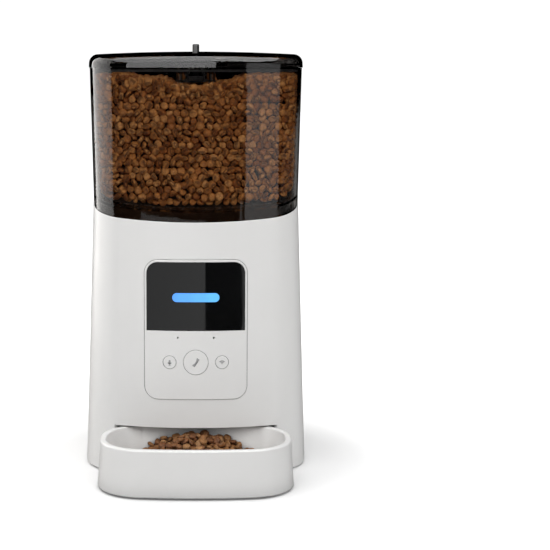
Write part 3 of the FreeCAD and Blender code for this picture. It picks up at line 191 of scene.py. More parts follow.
# %% Light cards
def light_card(name, centre, aim, width, height, near, far, tint=(1, 1, 1), mirrored=True,
               lights=True):
    """A glowing card that faces aim. Its brightness runs from near (its left edge) to far."""
    mesh = bpy.data.meshes.new(name)
    w, h = width / 2, height / 2
    mesh.from_pydata([(-w, -h, 0), (w, -h, 0), (w, h, 0), (-w, h, 0)], [], [(0, 1, 2, 3)])
    card = bpy.data.objects.new(name, mesh)
    card.location = centre
    card.rotation_euler = (Vector(aim) - Vector(centre)).to_track_quat("Z", "Y").to_euler()
    glow = bpy.data.materials.new(name + "_glow")
    glow.use_nodes = True
    tree = glow.node_tree
    tree.nodes.remove(tree.nodes["Principled BSDF"])
    place = add(tree, "ShaderNodeTexCoord")
    across = add(tree, "ShaderNodeSeparateXYZ", {0: place.outputs["Generated"]})
    side = add(tree, "ShaderNodeNewGeometry")
    bright = remap(tree, across.outputs["X"], 0.0, 1.0, near, far)
    front = calc(tree, "SUBTRACT", 1.0, side.outputs["Backfacing"])
    power = calc(tree, "MULTIPLY", bright, front)
    light = add(tree, "ShaderNodeEmission", {"Color": (*tint, 1), "Strength": power})
    tree.links.new(light.outputs[0], tree.nodes["Material Output"].inputs["Surface"])
    mesh.materials.append(glow)
    bpy.context.scene.collection.objects.link(card)
    card.visible_camera = False
    card.visible_transmission = False
    card.visible_glossy = mirrored
    card.visible_diffuse = lights


WARM, WARMER = (1.0, 0.975, 0.95), (1.0, 0.97, 0.93)
FEEDER_MIDDLE = (0, 0, 0.25)
KEY_PLACE, KEY_AIM, KEY_SIZE = (-0.15, -0.875, 1.375), (-0.15, -0.50, 0.65), (2.30, 1.63)

# Mirrored only: the strips and bands seen on the tank, the lid and the display window.
light_card("side_card", (-0.95, 0.115, 0.62), (0, 0.115, 0.62), 1.47, 1.3, 1.6, 4.2, WARM,
           lights=False)
light_card("front_card", (-0.39, -1.60, 0.68), (-0.39, 0, 0.68), 1.32, 0.64, 3.2, 3.4, lights=False)
light_card("upper_card", KEY_PLACE, KEY_AIM, *KEY_SIZE, 5.5, 3.6, lights=False)
light_card("low_card", (-0.1055, -0.45, 0.108), (-0.1055, 0, 0.108), 0.289, 0.114, 0.80, 0.66,
           lights=False)
light_card("narrow_card", (0.715, -0.75, 0.225), (0.715, 0, 0.225), 0.73, 0.45, 1.0, 1.1,
           lights=False)
light_card("edge_card", (0.319, -0.75, 0.085), (0.319, 0, 0.085), 0.018, 0.11, 0.7, 0.7,
           lights=False)

# Lighting only: a key from the front and above, one card on each side, one overhead.
light_card("key_card", KEY_PLACE, KEY_AIM, *KEY_SIZE, 2.35, 2.55, mirrored=False)
light_card("left_card", (-1.20, 0.70, 0.50), FEEDER_MIDDLE, 0.80, 1.00, 4.2, 4.2, WARMER,
           mirrored=False)
light_card("right_card", (1.20, 0.20, 0.50), FEEDER_MIDDLE, 0.80, 1.00, 1.3, 1.3, mirrored=False)
light_card("ceiling_card", (-0.25, 0.10, 1.9), (0, 0, 0), 1.8, 1.8, 2.0, 2.0, mirrored=False)

# %% [markdown]
# ## Effects that many materials share
# Real plastic is never one flat colour. Its tone drifts a little where the melt flowed,
# the mould's etched face leaves a fine grain, fingers leave dull patches and dust settles
# on what faces up. Edges are painted paler, partly as wear and partly as a painted
# highlight where corners catch more light, and gaps get painted shade. Each effect is one
# node group, built once. A group puts out only colours, masks, heights or normals, so any
# material can use it.


# %% Tone drift
def make_tone_drift():
    """A colour that grows slightly lighter and darker in broad soft patches."""
    group, inlet, outlet = new_group("tone_drift", [
        ("Colour", COLOUR, (0.8, 0.8, 0.8, 1)), ("Amount", FLOAT, 0.05), ("Scale", FLOAT, 20.0)],
        [("Colour", COLOUR), ("Mask", FLOAT)])
    place = object_place(group)
    cloud = add(group, "ShaderNodeTexNoise", {"Vector": place,
                "Scale": inlet.outputs["Scale"], "Detail": 3.0, "Roughness": 0.55})
    low = calc(group, "SUBTRACT", 1.0, inlet.outputs["Amount"])
    high = calc(group, "ADD", 1.0, inlet.outputs["Amount"])
    gain = remap(group, cloud.outputs[0], 0.3, 0.7, low, high)
    tone = add(group, "ShaderNodeVectorMath", {0: inlet.outputs["Colour"]}, operation="SCALE")
    group.links.new(gain, tone.inputs["Scale"])
    group.links.new(tone.outputs[0], outlet.inputs["Colour"])
    group.links.new(cloud.outputs[0], outlet.inputs["Mask"])
    return group


tone_drift = make_tone_drift()
print("group", tone_drift.name)


# %% Moulded grain
def make_moulded_grain():
    """The height of a spark-etched mould face: fine pits with a finer grain inside them."""
    group, inlet, outlet = new_group("moulded_grain", [
        ("Grain", FLOAT, 1500.0), ("Ripple", FLOAT, 0.15)], [("Height", FLOAT)])
    place = object_place(group)
    pits = add(group, "ShaderNodeTexVoronoi", {"Vector": place,
               "Scale": inlet.outputs["Grain"]}, feature="SMOOTH_F1")
    fine = add(group, "ShaderNodeTexNoise", {"Vector": place,
               "Scale": inlet.outputs["Grain"], "Detail": 4.0})
    wave = add(group, "ShaderNodeTexNoise", {"Vector": place, "Scale": 60.0, "Detail": 1.0})
    ripple = calc(group, "MULTIPLY", wave.outputs[0], inlet.outputs["Ripple"])
    grain = calc(group, "ADD", pits.outputs["Distance"], fine.outputs[0])
    total = calc(group, "ADD", grain, ripple)
    group.links.new(total, outlet.inputs["Height"])
    return group


moulded_grain = make_moulded_grain()
print("group", moulded_grain.name)


# %% Edge wear and painted highlight
def make_edge_wear_and_highlight():
    """Finds the edges by comparing the true normal with one rounded over a small radius; the mask paints
    edges paler, partly as wear and partly as a painted highlight.
    """
    group, inlet, outlet = new_group("edge_wear_and_highlight", [
        ("Radius", FLOAT, 0.0004), ("Break-up", FLOAT, 350.0)], [("Mask", FLOAT), ("Normal", VECTOR)])
    rounded = add(group, "ShaderNodeBevel", {"Radius": inlet.outputs["Radius"]}, samples=4)
    true = add(group, "ShaderNodeNewGeometry")
    same = add(group, "ShaderNodeVectorMath", {0: rounded.outputs[0], 1: true.outputs["Normal"]},
               operation="DOT_PRODUCT")
    bend = remap(group, same.outputs["Value"], 0.995, 0.86)
    place = object_place(group)
    patch = add(group, "ShaderNodeTexNoise", {"Vector": place,
                "Scale": inlet.outputs["Break-up"], "Detail": 3.0})
    spots = remap(group, patch.outputs[0], 0.35, 0.65)
    mask = calc(group, "MULTIPLY", bend, spots)
    group.links.new(mask, outlet.inputs["Mask"])
    group.links.new(rounded.outputs[0], outlet.inputs["Normal"])
    return group


edge_wear_and_highlight = make_edge_wear_and_highlight()
print("group", edge_wear_and_highlight.name)


# %% Settled dust
def make_settled_dust():
    """A mask of specks and haze on faces that look up."""
    group, inlet, outlet = new_group("settled_dust", [("Amount", FLOAT, 0.3), ("Scale", FLOAT, 900.0)],
                                     [("Mask", FLOAT)])
    way = add(group, "ShaderNodeNewGeometry")
    parts = add(group, "ShaderNodeSeparateXYZ", {0: way.outputs["Normal"]})
    up = remap(group, parts.outputs["Z"], 0.2, 0.95)
    place = object_place(group)
    specks = add(group, "ShaderNodeTexNoise", {"Vector": place,
                 "Scale": inlet.outputs["Scale"], "Detail": 5.0, "Roughness": 0.7})
    kept = remap(group, specks.outputs[0], 0.48, 0.75)
    mask = calc(group, "MULTIPLY", up, kept)
    share = calc(group, "MULTIPLY", mask, inlet.outputs["Amount"])
    group.links.new(share, outlet.inputs["Mask"])
    return group


settled_dust = make_settled_dust()
print("group", settled_dust.name)


# %% Handling marks
def make_handling_marks():
    """A roughness that rises in smeared patches, as fingers leave on polished plastic."""
    group, inlet, outlet = new_group("handling_marks", [
        ("Roughness", FLOAT, 0.1), ("Smear", FLOAT, 0.08), ("Scale", FLOAT, 45.0)], [("Roughness", FLOAT)])
    place = object_place(group)
    stretch = add(group, "ShaderNodeMapping", {"Vector": place, "Scale": (1.0, 1.0, 0.45)})
    smear = add(group, "ShaderNodeTexNoise", {"Vector": stretch.outputs[0],
                "Scale": inlet.outputs["Scale"], "Detail": 5.0, "Roughness": 0.65, "Distortion": 0.6})
    patch = remap(group, smear.outputs[0], 0.45, 0.72)
    more = calc(group, "MULTIPLY_ADD", patch, inlet.outputs["Smear"],
                inlet.outputs["Roughness"])
    group.links.new(more, outlet.inputs["Roughness"])
    return group


handling_marks = make_handling_marks()
print("group", handling_marks.name)


# %% Painted gap shade
def make_painted_gap_shade():
    """A mask of painted shade that grows where two parts meet or a hole goes in, out of the light's reach.
    """
    group, inlet, outlet = new_group("painted_gap_shade", [("Reach", FLOAT, 0.001), ("Amount", FLOAT, 0.6)],
                                     [("Mask", FLOAT)])
    open_sky = add(group, "ShaderNodeAmbientOcclusion", {"Distance": inlet.outputs["Reach"]}, samples=6)
    closed = remap(group, open_sky.outputs["AO"], 0.74, 0.20)
    mask = calc(group, "MULTIPLY", closed, inlet.outputs["Amount"])
    group.links.new(mask, outlet.inputs["Mask"])
    return group


painted_gap_shade = make_painted_gap_shade()
print("group", painted_gap_shade.name)

# %% [markdown]
# ## Moulded plastics
# Most of the feeder is injection-moulded: a satin white outer shell, plainer frames
# inside, black clips, milky gears and soft rubber. They share one recipe: drifting tone,
# a little dust, edges painted paler as wear and as a painted highlight, painted shade in
# the gaps where asked, grain in the normal and smears in the roughness. What differs is how
# much of each, so one function makes them all and each finish is one call.


# %% Recipe for a moulded finish
MIX_MASK, MIX_UNDER, MIX_OVER, MIX_COLOUR = 0, 6, 7, 2     # a mix node's colour sockets


def blend_colours(tree, mask, under, over):
    """Lays one colour over another where the mask is white."""
    mix = add(tree, "ShaderNodeMix", {MIX_MASK: mask, MIX_UNDER: under, MIX_OVER: over},
              data_type="RGBA")
    return mix.outputs[MIX_COLOUR]


def new_material(name):
    """An empty material; returns it with its tree and its skin shader."""
    material = bpy.data.materials.new(name)
    material.use_nodes = True
    return material, material.node_tree, material.node_tree.nodes["Principled BSDF"]


def relief(tree, skin, height, depth, normal=None):
    """Raises a skin by a height, where 1 stands for depth millimetres."""
    inputs = {"Height": height, "Strength": 1.0, "Distance": depth * MM}
    if normal is not None:
        inputs["Normal"] = normal
    bump = add(tree, "ShaderNodeBump", inputs)
    tree.links.new(bump.outputs[0], skin.inputs["Normal"])


DUST_COLOUR = (0.62, 0.60, 0.57, 1)
PALER, PALER_BY = 1.25, 0.03      # an edge is this much paler than its face, partly wear and partly a painted highlight
GAP_SHADE = 0.06                  # painted shade: a closed gap keeps this share of the colour


def moulded(name, colour, roughness, smear=0.06, grain=1500.0, depth=0.012, drift=0.02, dust=0.15,
            edge=0.25, edge_colour=None, gaps=0.0, gap_reach=0.0016):
    """One moulded finish; depth is its grain's in millimetres, and edge and gaps are shares: edge of the
    paler edges, partly wear and partly painted highlight, and gaps of the painted shade in gaps.
    """
    material, tree, skin = new_material(name)
    tone = use(tree, tone_drift, {"Colour": (*colour, 1), "Amount": drift, "Scale": 18.0})
    edges = use(tree, edge_wear_and_highlight, {"Radius": 0.4 * MM})
    # painted highlight: edges turn paler, partly as wear and partly as light caught by corners
    rubbed_and_highlit = calc(tree, "MULTIPLY", edges.outputs["Mask"], edge)
    pale = edge_colour or tuple(min(1.0, c * PALER + PALER_BY) for c in colour)
    worn_and_highlit = blend_colours(tree, rubbed_and_highlit, tone.outputs["Colour"], (*pale, 1))
    dusty = use(tree, settled_dust, {"Amount": dust})
    dusted_and_shaded = blend_colours(tree, dusty.outputs["Mask"], worn_and_highlit, DUST_COLOUR)
    # painted shade: where the gap mask grows, the colour darkens towards GAP_SHADE of itself
    if gaps:
        gap_shade_mask = use(tree, painted_gap_shade, {"Reach": gap_reach, "Amount": gaps})
        dusted_and_shaded = blend_colours(tree, gap_shade_mask.outputs["Mask"], dusted_and_shaded, (*[c * GAP_SHADE for c in colour], 1))
    tree.links.new(dusted_and_shaded, skin.inputs["Base Color"])
    marks = use(tree, handling_marks, {"Roughness": roughness, "Smear": smear})
    tree.links.new(marks.outputs[0], skin.inputs["Roughness"])
    height = use(tree, moulded_grain, {"Grain": grain})
    relief(tree, skin, height.outputs[0], depth, edges.outputs["Normal"])
    return material


finishes = {
    # painted shade: satin_white darkens the gaps round its panel and keys, and both whites paint a
    # highlight on their edges
    "white_shell": moulded("satin_white", (0.80, 0.795, 0.785), 0.34, smear=0.02, depth=0.010, drift=0.012,
                           dust=0.06, edge=0.35, edge_colour=(0.93, 0.93, 0.925), gaps=0.9),
    # painted shade: bowl_white's long gap reach darkens the bowl where the body overhangs it
    "white_tray": moulded("bowl_white", (0.80, 0.795, 0.785), 0.30, smear=0.015, grain=1100.0, depth=0.006,
                          drift=0.012, dust=0.05, gaps=0.75, gap_reach=0.030, edge=0.4,
                          edge_colour=(0.95, 0.95, 0.945)),
    "grey_frame": moulded("frame_grey", (0.62, 0.62, 0.61), 0.45, drift=0.03, depth=0.020),
    "drive_plastic": moulded("natural_white", (0.70, 0.69, 0.66), 0.42, drift=0.03, depth=0.015),
    "gear_plastic": moulded("milky_acetal", (0.72, 0.69, 0.60), 0.28, grain=2400.0, depth=0.006,
                            drift=0.03),
    "black_matt": moulded("matt_black", (0.016, 0.016, 0.017), 0.40, depth=0.018, drift=0.10, dust=0.20,
                          edge_colour=(0.08, 0.08, 0.082)),
    "components": moulded("black_package", (0.022, 0.022, 0.024), 0.36, drift=0.10, depth=0.012,
                          edge_colour=(0.10, 0.10, 0.10)),
    "soft_rubber": moulded("soft_rubber", (0.030, 0.030, 0.031), 0.72, smear=0.12, grain=900.0, depth=0.030,
                           drift=0.08, dust=0.35),
    "cell_wrap": moulded("cell_sleeve", (0.05, 0.09, 0.20), 0.25, smear=0.10, depth=0.003, drift=0.06),
}
print("moulded finishes:", sorted(finishes))

# %% [markdown]
# ## Smoked see-through plastic
# The tank and the lid are polished smoked plastic 2 to 3 mm thick. A shader that only
# fades would look like film, so this one bends light, and the plastic also darkens light
# by how far it travels inside: looking through the wall it is a light brown-grey, and
# along the wall, at the outline, it turns black. Lamps can't find their way through bent
# glass in a render, so for shadow rays alone the material turns into a plain tint.


# %% Smoked plastic
def make_smoked(name, tint, lamp_tint, depth_colour, density):
    """Clear plastic that bends light and darkens with depth; lamp_tint is all a lamp's ray sees."""
    material, tree, skin = new_material(name)
    tone = use(tree, tone_drift, {"Colour": (*tint, 1), "Amount": 0.02, "Scale": 14.0})
    tree.links.new(tone.outputs["Colour"], skin.inputs["Base Color"])
    skin.inputs["Roughness"].default_value = 0.02
    skin.inputs["IOR"].default_value = 1.49
    skin.inputs["Transmission Weight"].default_value = 1.0
    height = use(tree, moulded_grain, {"Grain": 350.0, "Ripple": 0.6})
    relief(tree, skin, height.outputs[0], 0.0002)
    rays = add(tree, "ShaderNodeLightPath")
    clear = add(tree, "ShaderNodeBsdfTransparent", {"Color": (*lamp_tint, 1)})
    both = add(tree, "ShaderNodeMixShader", {0: rays.outputs["Is Shadow Ray"],
               1: skin.outputs[0], 2: clear.outputs[0]})
    dark = add(tree, "ShaderNodeVolumeAbsorption", {"Color": (*depth_colour, 1), "Density": density})
    outlet = tree.nodes["Material Output"]
    tree.links.new(both.outputs[0], outlet.inputs["Surface"])
    tree.links.new(dark.outputs[0], outlet.inputs["Volume"])
    return material


finishes["smoked_clear"] = make_smoked("smoked_plastic", (0.93, 0.91, 0.89), (0.98, 0.975, 0.97),
                                       (0.14, 0.12, 0.11), 130.0)
print("smoked plastic made")

# %% [markdown]
# ## Polished black and the light bar
# The display window is one piece of polished black plastic. Behind it a frosted bar
# glows blue. Small lamps sit behind the bar, so its glow is a little stronger over each
# one, and it runs from a deeper blue on the left to a paler one on the right.


# %% Polished black
def make_polished_black():
    """Polished black with a faint wave from the mould, fine dust and finger smears."""
    material, tree, skin = new_material("polished_black")
    tone = use(tree, tone_drift, {"Colour": (0.0058, 0.0060, 0.0064, 1), "Amount": 0.15, "Scale": 30.0})
    dusty = use(tree, settled_dust, {"Amount": 0.12, "Scale": 1400.0})
    skin_colour = blend_colours(tree, dusty.outputs["Mask"], tone.outputs["Colour"], (0.25, 0.25, 0.25, 1))
    tree.links.new(skin_colour, skin.inputs["Base Color"])
    marks = use(tree, handling_marks, {"Roughness": 0.035, "Smear": 0.05})
    tree.links.new(marks.outputs[0], skin.inputs["Roughness"])
    height = use(tree, moulded_grain, {"Grain": 500.0, "Ripple": 3.0})
    relief(tree, skin, height.outputs[0], 0.0004)
    return material


finishes["black_gloss"] = make_polished_black()
print("polished black made")


# %% Glowing bar
LAMP_COUNT = 3


def make_glowing_bar():
    """A frosted bar that glows from a deeper to a paler blue, a little uneven at each lamp."""
    material, tree, skin = new_material("blue_light_bar")
    low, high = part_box("light_guide")
    place = object_place(tree)
    parts = add(tree, "ShaderNodeSeparateXYZ", {0: place})
    along = remap(tree, parts.outputs["X"], low.x, high.x)
    blue = blend_colours(tree, along, (0.075, 0.32, 1.0, 1), (0.11, 0.50, 1.0, 1))
    lamps = calc(tree, "MULTIPLY", along, LAMP_COUNT * 2 * math.pi)
    beat = calc(tree, "COSINE", lamps)
    frost = add(tree, "ShaderNodeTexNoise", {"Vector": place, "Scale": 1500.0, "Detail": 2.0})
    uneven = calc(tree, "MULTIPLY_ADD", beat, -0.03, 0.92)
    grainy = calc(tree, "MULTIPLY_ADD", frost.outputs[0], 0.14, uneven)
    glow = add(tree, "ShaderNodeVectorMath", {0: blue}, operation="SCALE")
    tree.links.new(grainy, glow.inputs["Scale"])
    tree.links.new(glow.outputs[0], skin.inputs["Emission Color"])
    skin.inputs["Emission Strength"].default_value = 1.0
    tree.links.new(blend_colours(tree, frost.outputs[0], (0.03, 0.09, 0.2, 1), (0.05, 0.14, 0.3, 1)),
                   skin.inputs["Base Color"])
    skin.inputs["Roughness"].default_value = 0.35
    return material


finishes["blue_light"] = make_glowing_bar()
print("light bar made")


# %% [markdown]
# ## Metals, boards and small lamps
# Screws, the shaft and the motor can are plain steel with fine lines from turning or
# drawing. Contacts and the radio's shield are nickel, brighter and smoother. The boards
# have a green solder mask over copper tracks, which show as slightly raised paler lines.


# %% Steel and nickel
def make_metal(name, colour, roughness, lines, stretch):
    """Bare metal with fine lines along one direction and darker tarnish in patches."""
    material, tree, skin = new_material(name)
    skin.inputs["Metallic"].default_value = 1.0
    tone = use(tree, tone_drift, {"Colour": (*colour, 1), "Amount": 0.10, "Scale": 120.0})
    edges = use(tree, edge_wear_and_highlight, {"Radius": 0.0003})
    # edges turn paler, partly as polish wear and partly as a painted highlight
    polished = blend_colours(tree, edges.outputs["Mask"], tone.outputs["Colour"], (0.86, 0.86, 0.85, 1))
    tree.links.new(polished, skin.inputs["Base Color"])
    place = object_place(tree)
    drawn = add(tree, "ShaderNodeMapping", {"Vector": place, "Scale": stretch})
    hair = add(tree, "ShaderNodeTexNoise", {"Vector": drawn.outputs[0], "Scale": lines, "Detail": 6.0})
    rough = remap(tree, hair.outputs[0], 0.3, 0.7, roughness * 0.7, roughness * 1.4)
    tree.links.new(rough, skin.inputs["Roughness"])
    relief(tree, skin, hair.outputs[0], 0.004, edges.outputs["Normal"])
    return material


finishes["steel"] = make_metal("plain_steel", (0.56, 0.56, 0.57), 0.30, 900.0, (1.0, 1.0, 0.08))
finishes["nickel"] = make_metal("nickel_plate", (0.68, 0.66, 0.62), 0.20, 700.0, (0.1, 1.0, 1.0))
print("metals made")


# %% Circuit boards and lamp domes
def make_board():
    """Solder mask over tracks: a grid of cells, some of them filled, a little raised."""
    material, tree, skin = new_material("solder_mask")
    place = object_place(tree)
    cells = add(tree, "ShaderNodeTexVoronoi", {"Vector": place, "Scale": 420.0},
                feature="DISTANCE_TO_EDGE")
    tracks = remap(tree, cells.outputs["Distance"], 0.05, 0.09, 1.0, 0.0)
    tone = use(tree, tone_drift, {"Colour": (0.012, 0.11, 0.045, 1), "Amount": 0.08, "Scale": 60.0})
    tree.links.new(blend_colours(tree, tracks, tone.outputs["Colour"], (0.03, 0.20, 0.09, 1)),
                   skin.inputs["Base Color"])
    marks = use(tree, handling_marks, {"Roughness": 0.22, "Smear": 0.10})
    tree.links.new(marks.outputs[0], skin.inputs["Roughness"])
    relief(tree, skin, tracks, 0.03)
    return material


finishes["board_green"] = make_board()
finishes["leds"] = moulded("clear_epoxy", (0.62, 0.66, 0.70), 0.12, grain=2500.0, depth=0.002, dust=0.02)
print("boards and lamp domes made")

# %% [markdown]
# ## Dressing the CAD nodes
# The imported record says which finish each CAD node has. Every slot of every node gets
# the finish of that name, and nothing is left in the plain colour it arrived with.

# %% Dress every node
slot_of = {row["node"]: row["material_slot"] for row in frame["record"]["subparts"]}
for name, node in frame["nodes"].items():
    for slot in node.material_slots:
        slot.material = finishes[slot_of[name]]
print("dressed", len(frame["nodes"]), "nodes in", len(set(slot_of.values())), "finishes")

# %% [markdown]
# ## Dry food
# Each piece of food is a small baked disc: round or slightly oval, thicker at its rim
# than in its middle, with a bumpy crust. Thousands are needed, so a handful of different
# discs are modelled from one formula and repeated at every size, turn and tilt.


# %% Food crust
def make_crust(name, gain):
    """A toasted crust with painted shade between the discs; gain scales all its colours, and a gain under 1
    paints shade over the whole crust.
    """
    material, tree, skin = new_material(name)
    place = object_place(tree)
    which = add(tree, "ShaderNodeNewGeometry")
    tint = add(tree, "ShaderNodeValToRGB", {"Fac": which.outputs["Random Per Island"]})
    shades = ((0.0, (0.34, 0.108, 0.022)), (0.3, (0.50, 0.188, 0.045)), (0.7, (0.64, 0.275, 0.078)),
              (1.0, (0.76, 0.365, 0.125)))
    ramp = tint.color_ramp
    for position, colour in shades:
        stop = ramp.elements[0] if position == 0 else ramp.elements[-1] if position == 1 else \
            ramp.elements.new(position)
        stop.color = (*[c * gain for c in colour], 1)
    baked = add(tree, "ShaderNodeTexNoise", {"Vector": place, "Scale": 420.0,
                "Detail": 5.0, "Roughness": 0.65})
    patch = remap(tree, baked.outputs[0], 0.38, 0.66)
    toasted = add(tree, "ShaderNodeVectorMath", {0: tint.outputs[0], "Scale": 0.55}, operation="SCALE")
    body = blend_colours(tree, patch, toasted.outputs[0], tint.outputs[0])
    crumbs = add(tree, "ShaderNodeTexVoronoi", {"Vector": place, "Scale": 1300.0})
    pale = remap(tree, crumbs.outputs["Distance"], 0.10, 0.32, 0.45, 0.0)
    crumbed = blend_colours(tree, pale, body, (*[c * gain for c in (0.74, 0.47, 0.24)], 1))
    # painted shade: the gaps between discs darken towards near-black brown
    gap_shade_mask = use(tree, painted_gap_shade, {"Reach": 0.0016, "Amount": 0.75})
    tree.links.new(blend_colours(tree, gap_shade_mask.outputs["Mask"], crumbed, (0.05, 0.014, 0.004, 1)),
                   skin.inputs["Base Color"])
    rough = remap(tree, baked.outputs[0], 0.0, 1.0, 0.45, 0.75)
    tree.links.new(rough, skin.inputs["Roughness"])
    rise = calc(tree, "ADD", baked.outputs[0], crumbs.outputs["Distance"])
    relief(tree, skin, rise, 0.35)
    skin.inputs["Specular IOR Level"].default_value = 0.35
    return material


tank_crust = make_crust("tank_crust", 1.0)
# painted shade: the tray's copy of the crust is darkened to about half, for the shade under the body's
# overhang
shaded_tray_crust = make_crust("shaded_tray_crust", 0.52)
print("crusts made")

# %% One disc from a formula
FOOD_RADIUS, FOOD_HALF = 3.9 * MM, 1.95 * MM
SPOKES, RINGS = 12, 6
dice = np.random.default_rng(20)


def disc(variant):
    """Vertices and triangles of one piece of food: a squashed ball, dimpled, with a lumpy rim."""
    draw = np.random.default_rng(100 + variant)
    oval = draw.uniform(0.86, 1.0)
    lumps = draw.uniform(-0.07, 0.07, (3, 4))
    points = [(0.0, 0.0, -1.0)]
    for ring in range(1, RINGS):
        fall = math.pi * ring / RINGS
        for spoke in range(SPOKES):
            turn = 2 * math.pi * (spoke + 0.5 * (ring % 2)) / SPOKES
            points.append((math.sin(fall) * math.cos(turn), math.sin(fall) * math.sin(turn),
                           -math.cos(fall)))
    points.append((0.0, 0.0, 1.0))
    p = np.array(points)
    out = np.hypot(p[:, 0], p[:, 1])
    turn = np.arctan2(p[:, 1], p[:, 0])
    wave = sum(lumps[0, k] * np.cos((k + 1) * turn) + lumps[1,
                                                            k] * np.sin((k + 1) * turn) for k in range(4))
    reach = out ** 0.72 * (1 + wave * out)
    dimple = 1 - 0.34 * np.exp(-(out / 0.42) ** 2)
    shape = np.column_stack([np.cos(turn) * reach * FOOD_RADIUS, np.sin(turn) * reach * oval * FOOD_RADIUS,
                             np.sign(p[:, 2]) * np.abs(p[:, 2]) ** 0.8 * dimple * FOOD_HALF])
    shape[:, 2] += lumps[2, 0] * 4 * shape[:, 0] * out
    faces = [(0, 1 + (s + 1) % SPOKES, 1 + s) for s in range(SPOKES)]
    for ring in range(RINGS - 2):
        a, b = 1 + ring * SPOKES, 1 + (ring + 1) * SPOKES
        for s in range(SPOKES):
            n = (s + 1) % SPOKES
            if ring % 2 == 0:
                faces += [(a + s, a + n, b + s), (a + n, b + n, b + s)]
            else:
                faces += [(a + s, a + n, b + n), (a + s, b + n, b + s)]
    last, top = 1 + (RINGS - 2) * SPOKES, len(points) - 1
    faces += [(last + s, last + (s + 1) % SPOKES, top) for s in range(SPOKES)]
    return shape, np.array(faces)


discs = [disc(v) for v in range(8)]
print("disc:", len(discs[0][0]), "points,", len(discs[0][1]), "triangles")


# %% Many discs in one mesh
def turned(count, flat=0.0, away=None):
    """Random rotations; flat draws each disc's axis towards its away direction."""
    axis = dice.normal(size=(count, 3))
    axis /= np.linalg.norm(axis, axis=1)[:, None]
    if away is not None:
        axis = axis * (1 - flat) + away * flat * np.sign(np.sum(axis * away, axis=1))[:, None]
        axis /= np.linalg.norm(axis, axis=1)[:, None]
    side = np.cross(axis, dice.normal(size=(count, 3)))
    side /= np.linalg.norm(side, axis=1)[:, None]
    return np.stack([side, np.cross(axis, side), axis], axis=2)


def food_piece(name, centres, turns, sizes, body, crust):
    """Joins discs at these places into one piece that rides on a body."""
    points, faces, start = [], [], 0
    for i, (centre, turn, size) in enumerate(zip(centres, turns, sizes)):
        shape, tris = discs[i % len(discs)]
        points.append(shape @ turn.T * size + centre)
        faces.append(tris + start)
        start += len(shape)
    points, faces = np.vstack(points), np.vstack(faces)
    mesh = bpy.data.meshes.new(name)
    mesh.vertices.add(len(points))
    mesh.vertices.foreach_set("co", points.astype(np.float32).ravel())
    mesh.loops.add(faces.size)
    mesh.loops.foreach_set("vertex_index", faces.astype(np.int32).ravel())
    mesh.polygons.add(len(faces))
    mesh.polygons.foreach_set("loop_start", np.arange(0, faces.size, 3, dtype=np.int32))
    mesh.polygons.foreach_set("use_smooth", np.ones(len(faces), bool))
    mesh.update(calc_edges=True)
    mesh.materials.append(crust)
    piece = bpy.data.objects.new(name, mesh)
    bpy.context.scene.collection.objects.link(piece)
    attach(piece, body)
    print(name, len(centres), "discs,", len(faces), "triangles")


def spread(points, gap, steps, hold):
    """Pushes points apart until neighbours are about gap away, and keeps them where hold allows."""
    for _ in range(steps):
        keys = np.floor(points / gap).astype(np.int64)
        index = {}
        for i, key in enumerate(map(tuple, keys)):
            index.setdefault(key, []).append(i)
        push = np.zeros_like(points)
        for key, mine in index.items():
            near = [j for dx in (-1, 0, 1) for dy in (-1, 0, 1) for dz in (-1, 0, 1)
                    for j in index.get((key[0] + dx, key[1] + dy, key[2] + dz), ())]
            gaps = points[mine][:, None, :] - points[near][None, :, :]
            away = np.linalg.norm(gaps, axis=2)
            close = (away < gap) & (away > 1e-9)
            share = np.where(close, (gap - away) / np.maximum(away, 1e-9) * 0.5, 0.0)
            push[mine] = (gaps * share[:, :, None]).sum(axis=1) * 0.5
        points = hold(points + push)
    return points


print("food helpers ready")

# %% [markdown]
# ## The load in the tank
# Only the food near the wall and on top can be seen, so that is what is laid, around a
# dark core that stands in for the shade deep in the load. The tank's inner wall is measured
# from its middle line outwards, at many heights and angles. Discs are dropped in rings along
# it, then pushed apart until they lie side by side, as settling does. The top is a soft slope
# that dips where food drains.

# %% Measure the tank from inside
def tree_of(*names):
    """The CAD nodes' faces, ready for rays to be cast at them."""
    points, faces = [], []
    for name in names:
        mesh = frame["nodes"][name].data
        start = len(points)
        points += [v.co for v in mesh.vertices]
        faces += [[start + i for i in p.vertices] for p in mesh.polygons]
    return BVHTree.FromPolygons(points, faces)


tank_low, tank_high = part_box("hopper_tank")
funnel_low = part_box("hopper_funnel")[0]
axis_y = (tank_low.y + tank_high.y) / 2
tank = tree_of("hopper_tank", "hopper_funnel")
ANGLES, LEVELS = 144, 80
angle_steps = np.linspace(-math.pi, math.pi, ANGLES, endpoint=False)
heights = np.linspace(funnel_low.z + 2 * MM, tank_high.z - 1.5 * MM, LEVELS)
reach_at = np.zeros((LEVELS, ANGLES))
for i, z in enumerate(heights):
    for j, turn in enumerate(angle_steps):
        hit = tank.ray_cast(Vector((0, axis_y, z)), Vector((math.cos(turn), math.sin(turn), 0)))
        reach_at[i, j] = hit[3] if hit[0] is not None else 0.0
clear_at = np.array([reach_at[max(0, i - 2):i + 3].min(axis=0) for i in range(LEVELS)])
print("inner reach in mm: bottom", round(reach_at[0].mean() / MM, 1), "top",
      round(reach_at[-1].mean() / MM, 1))


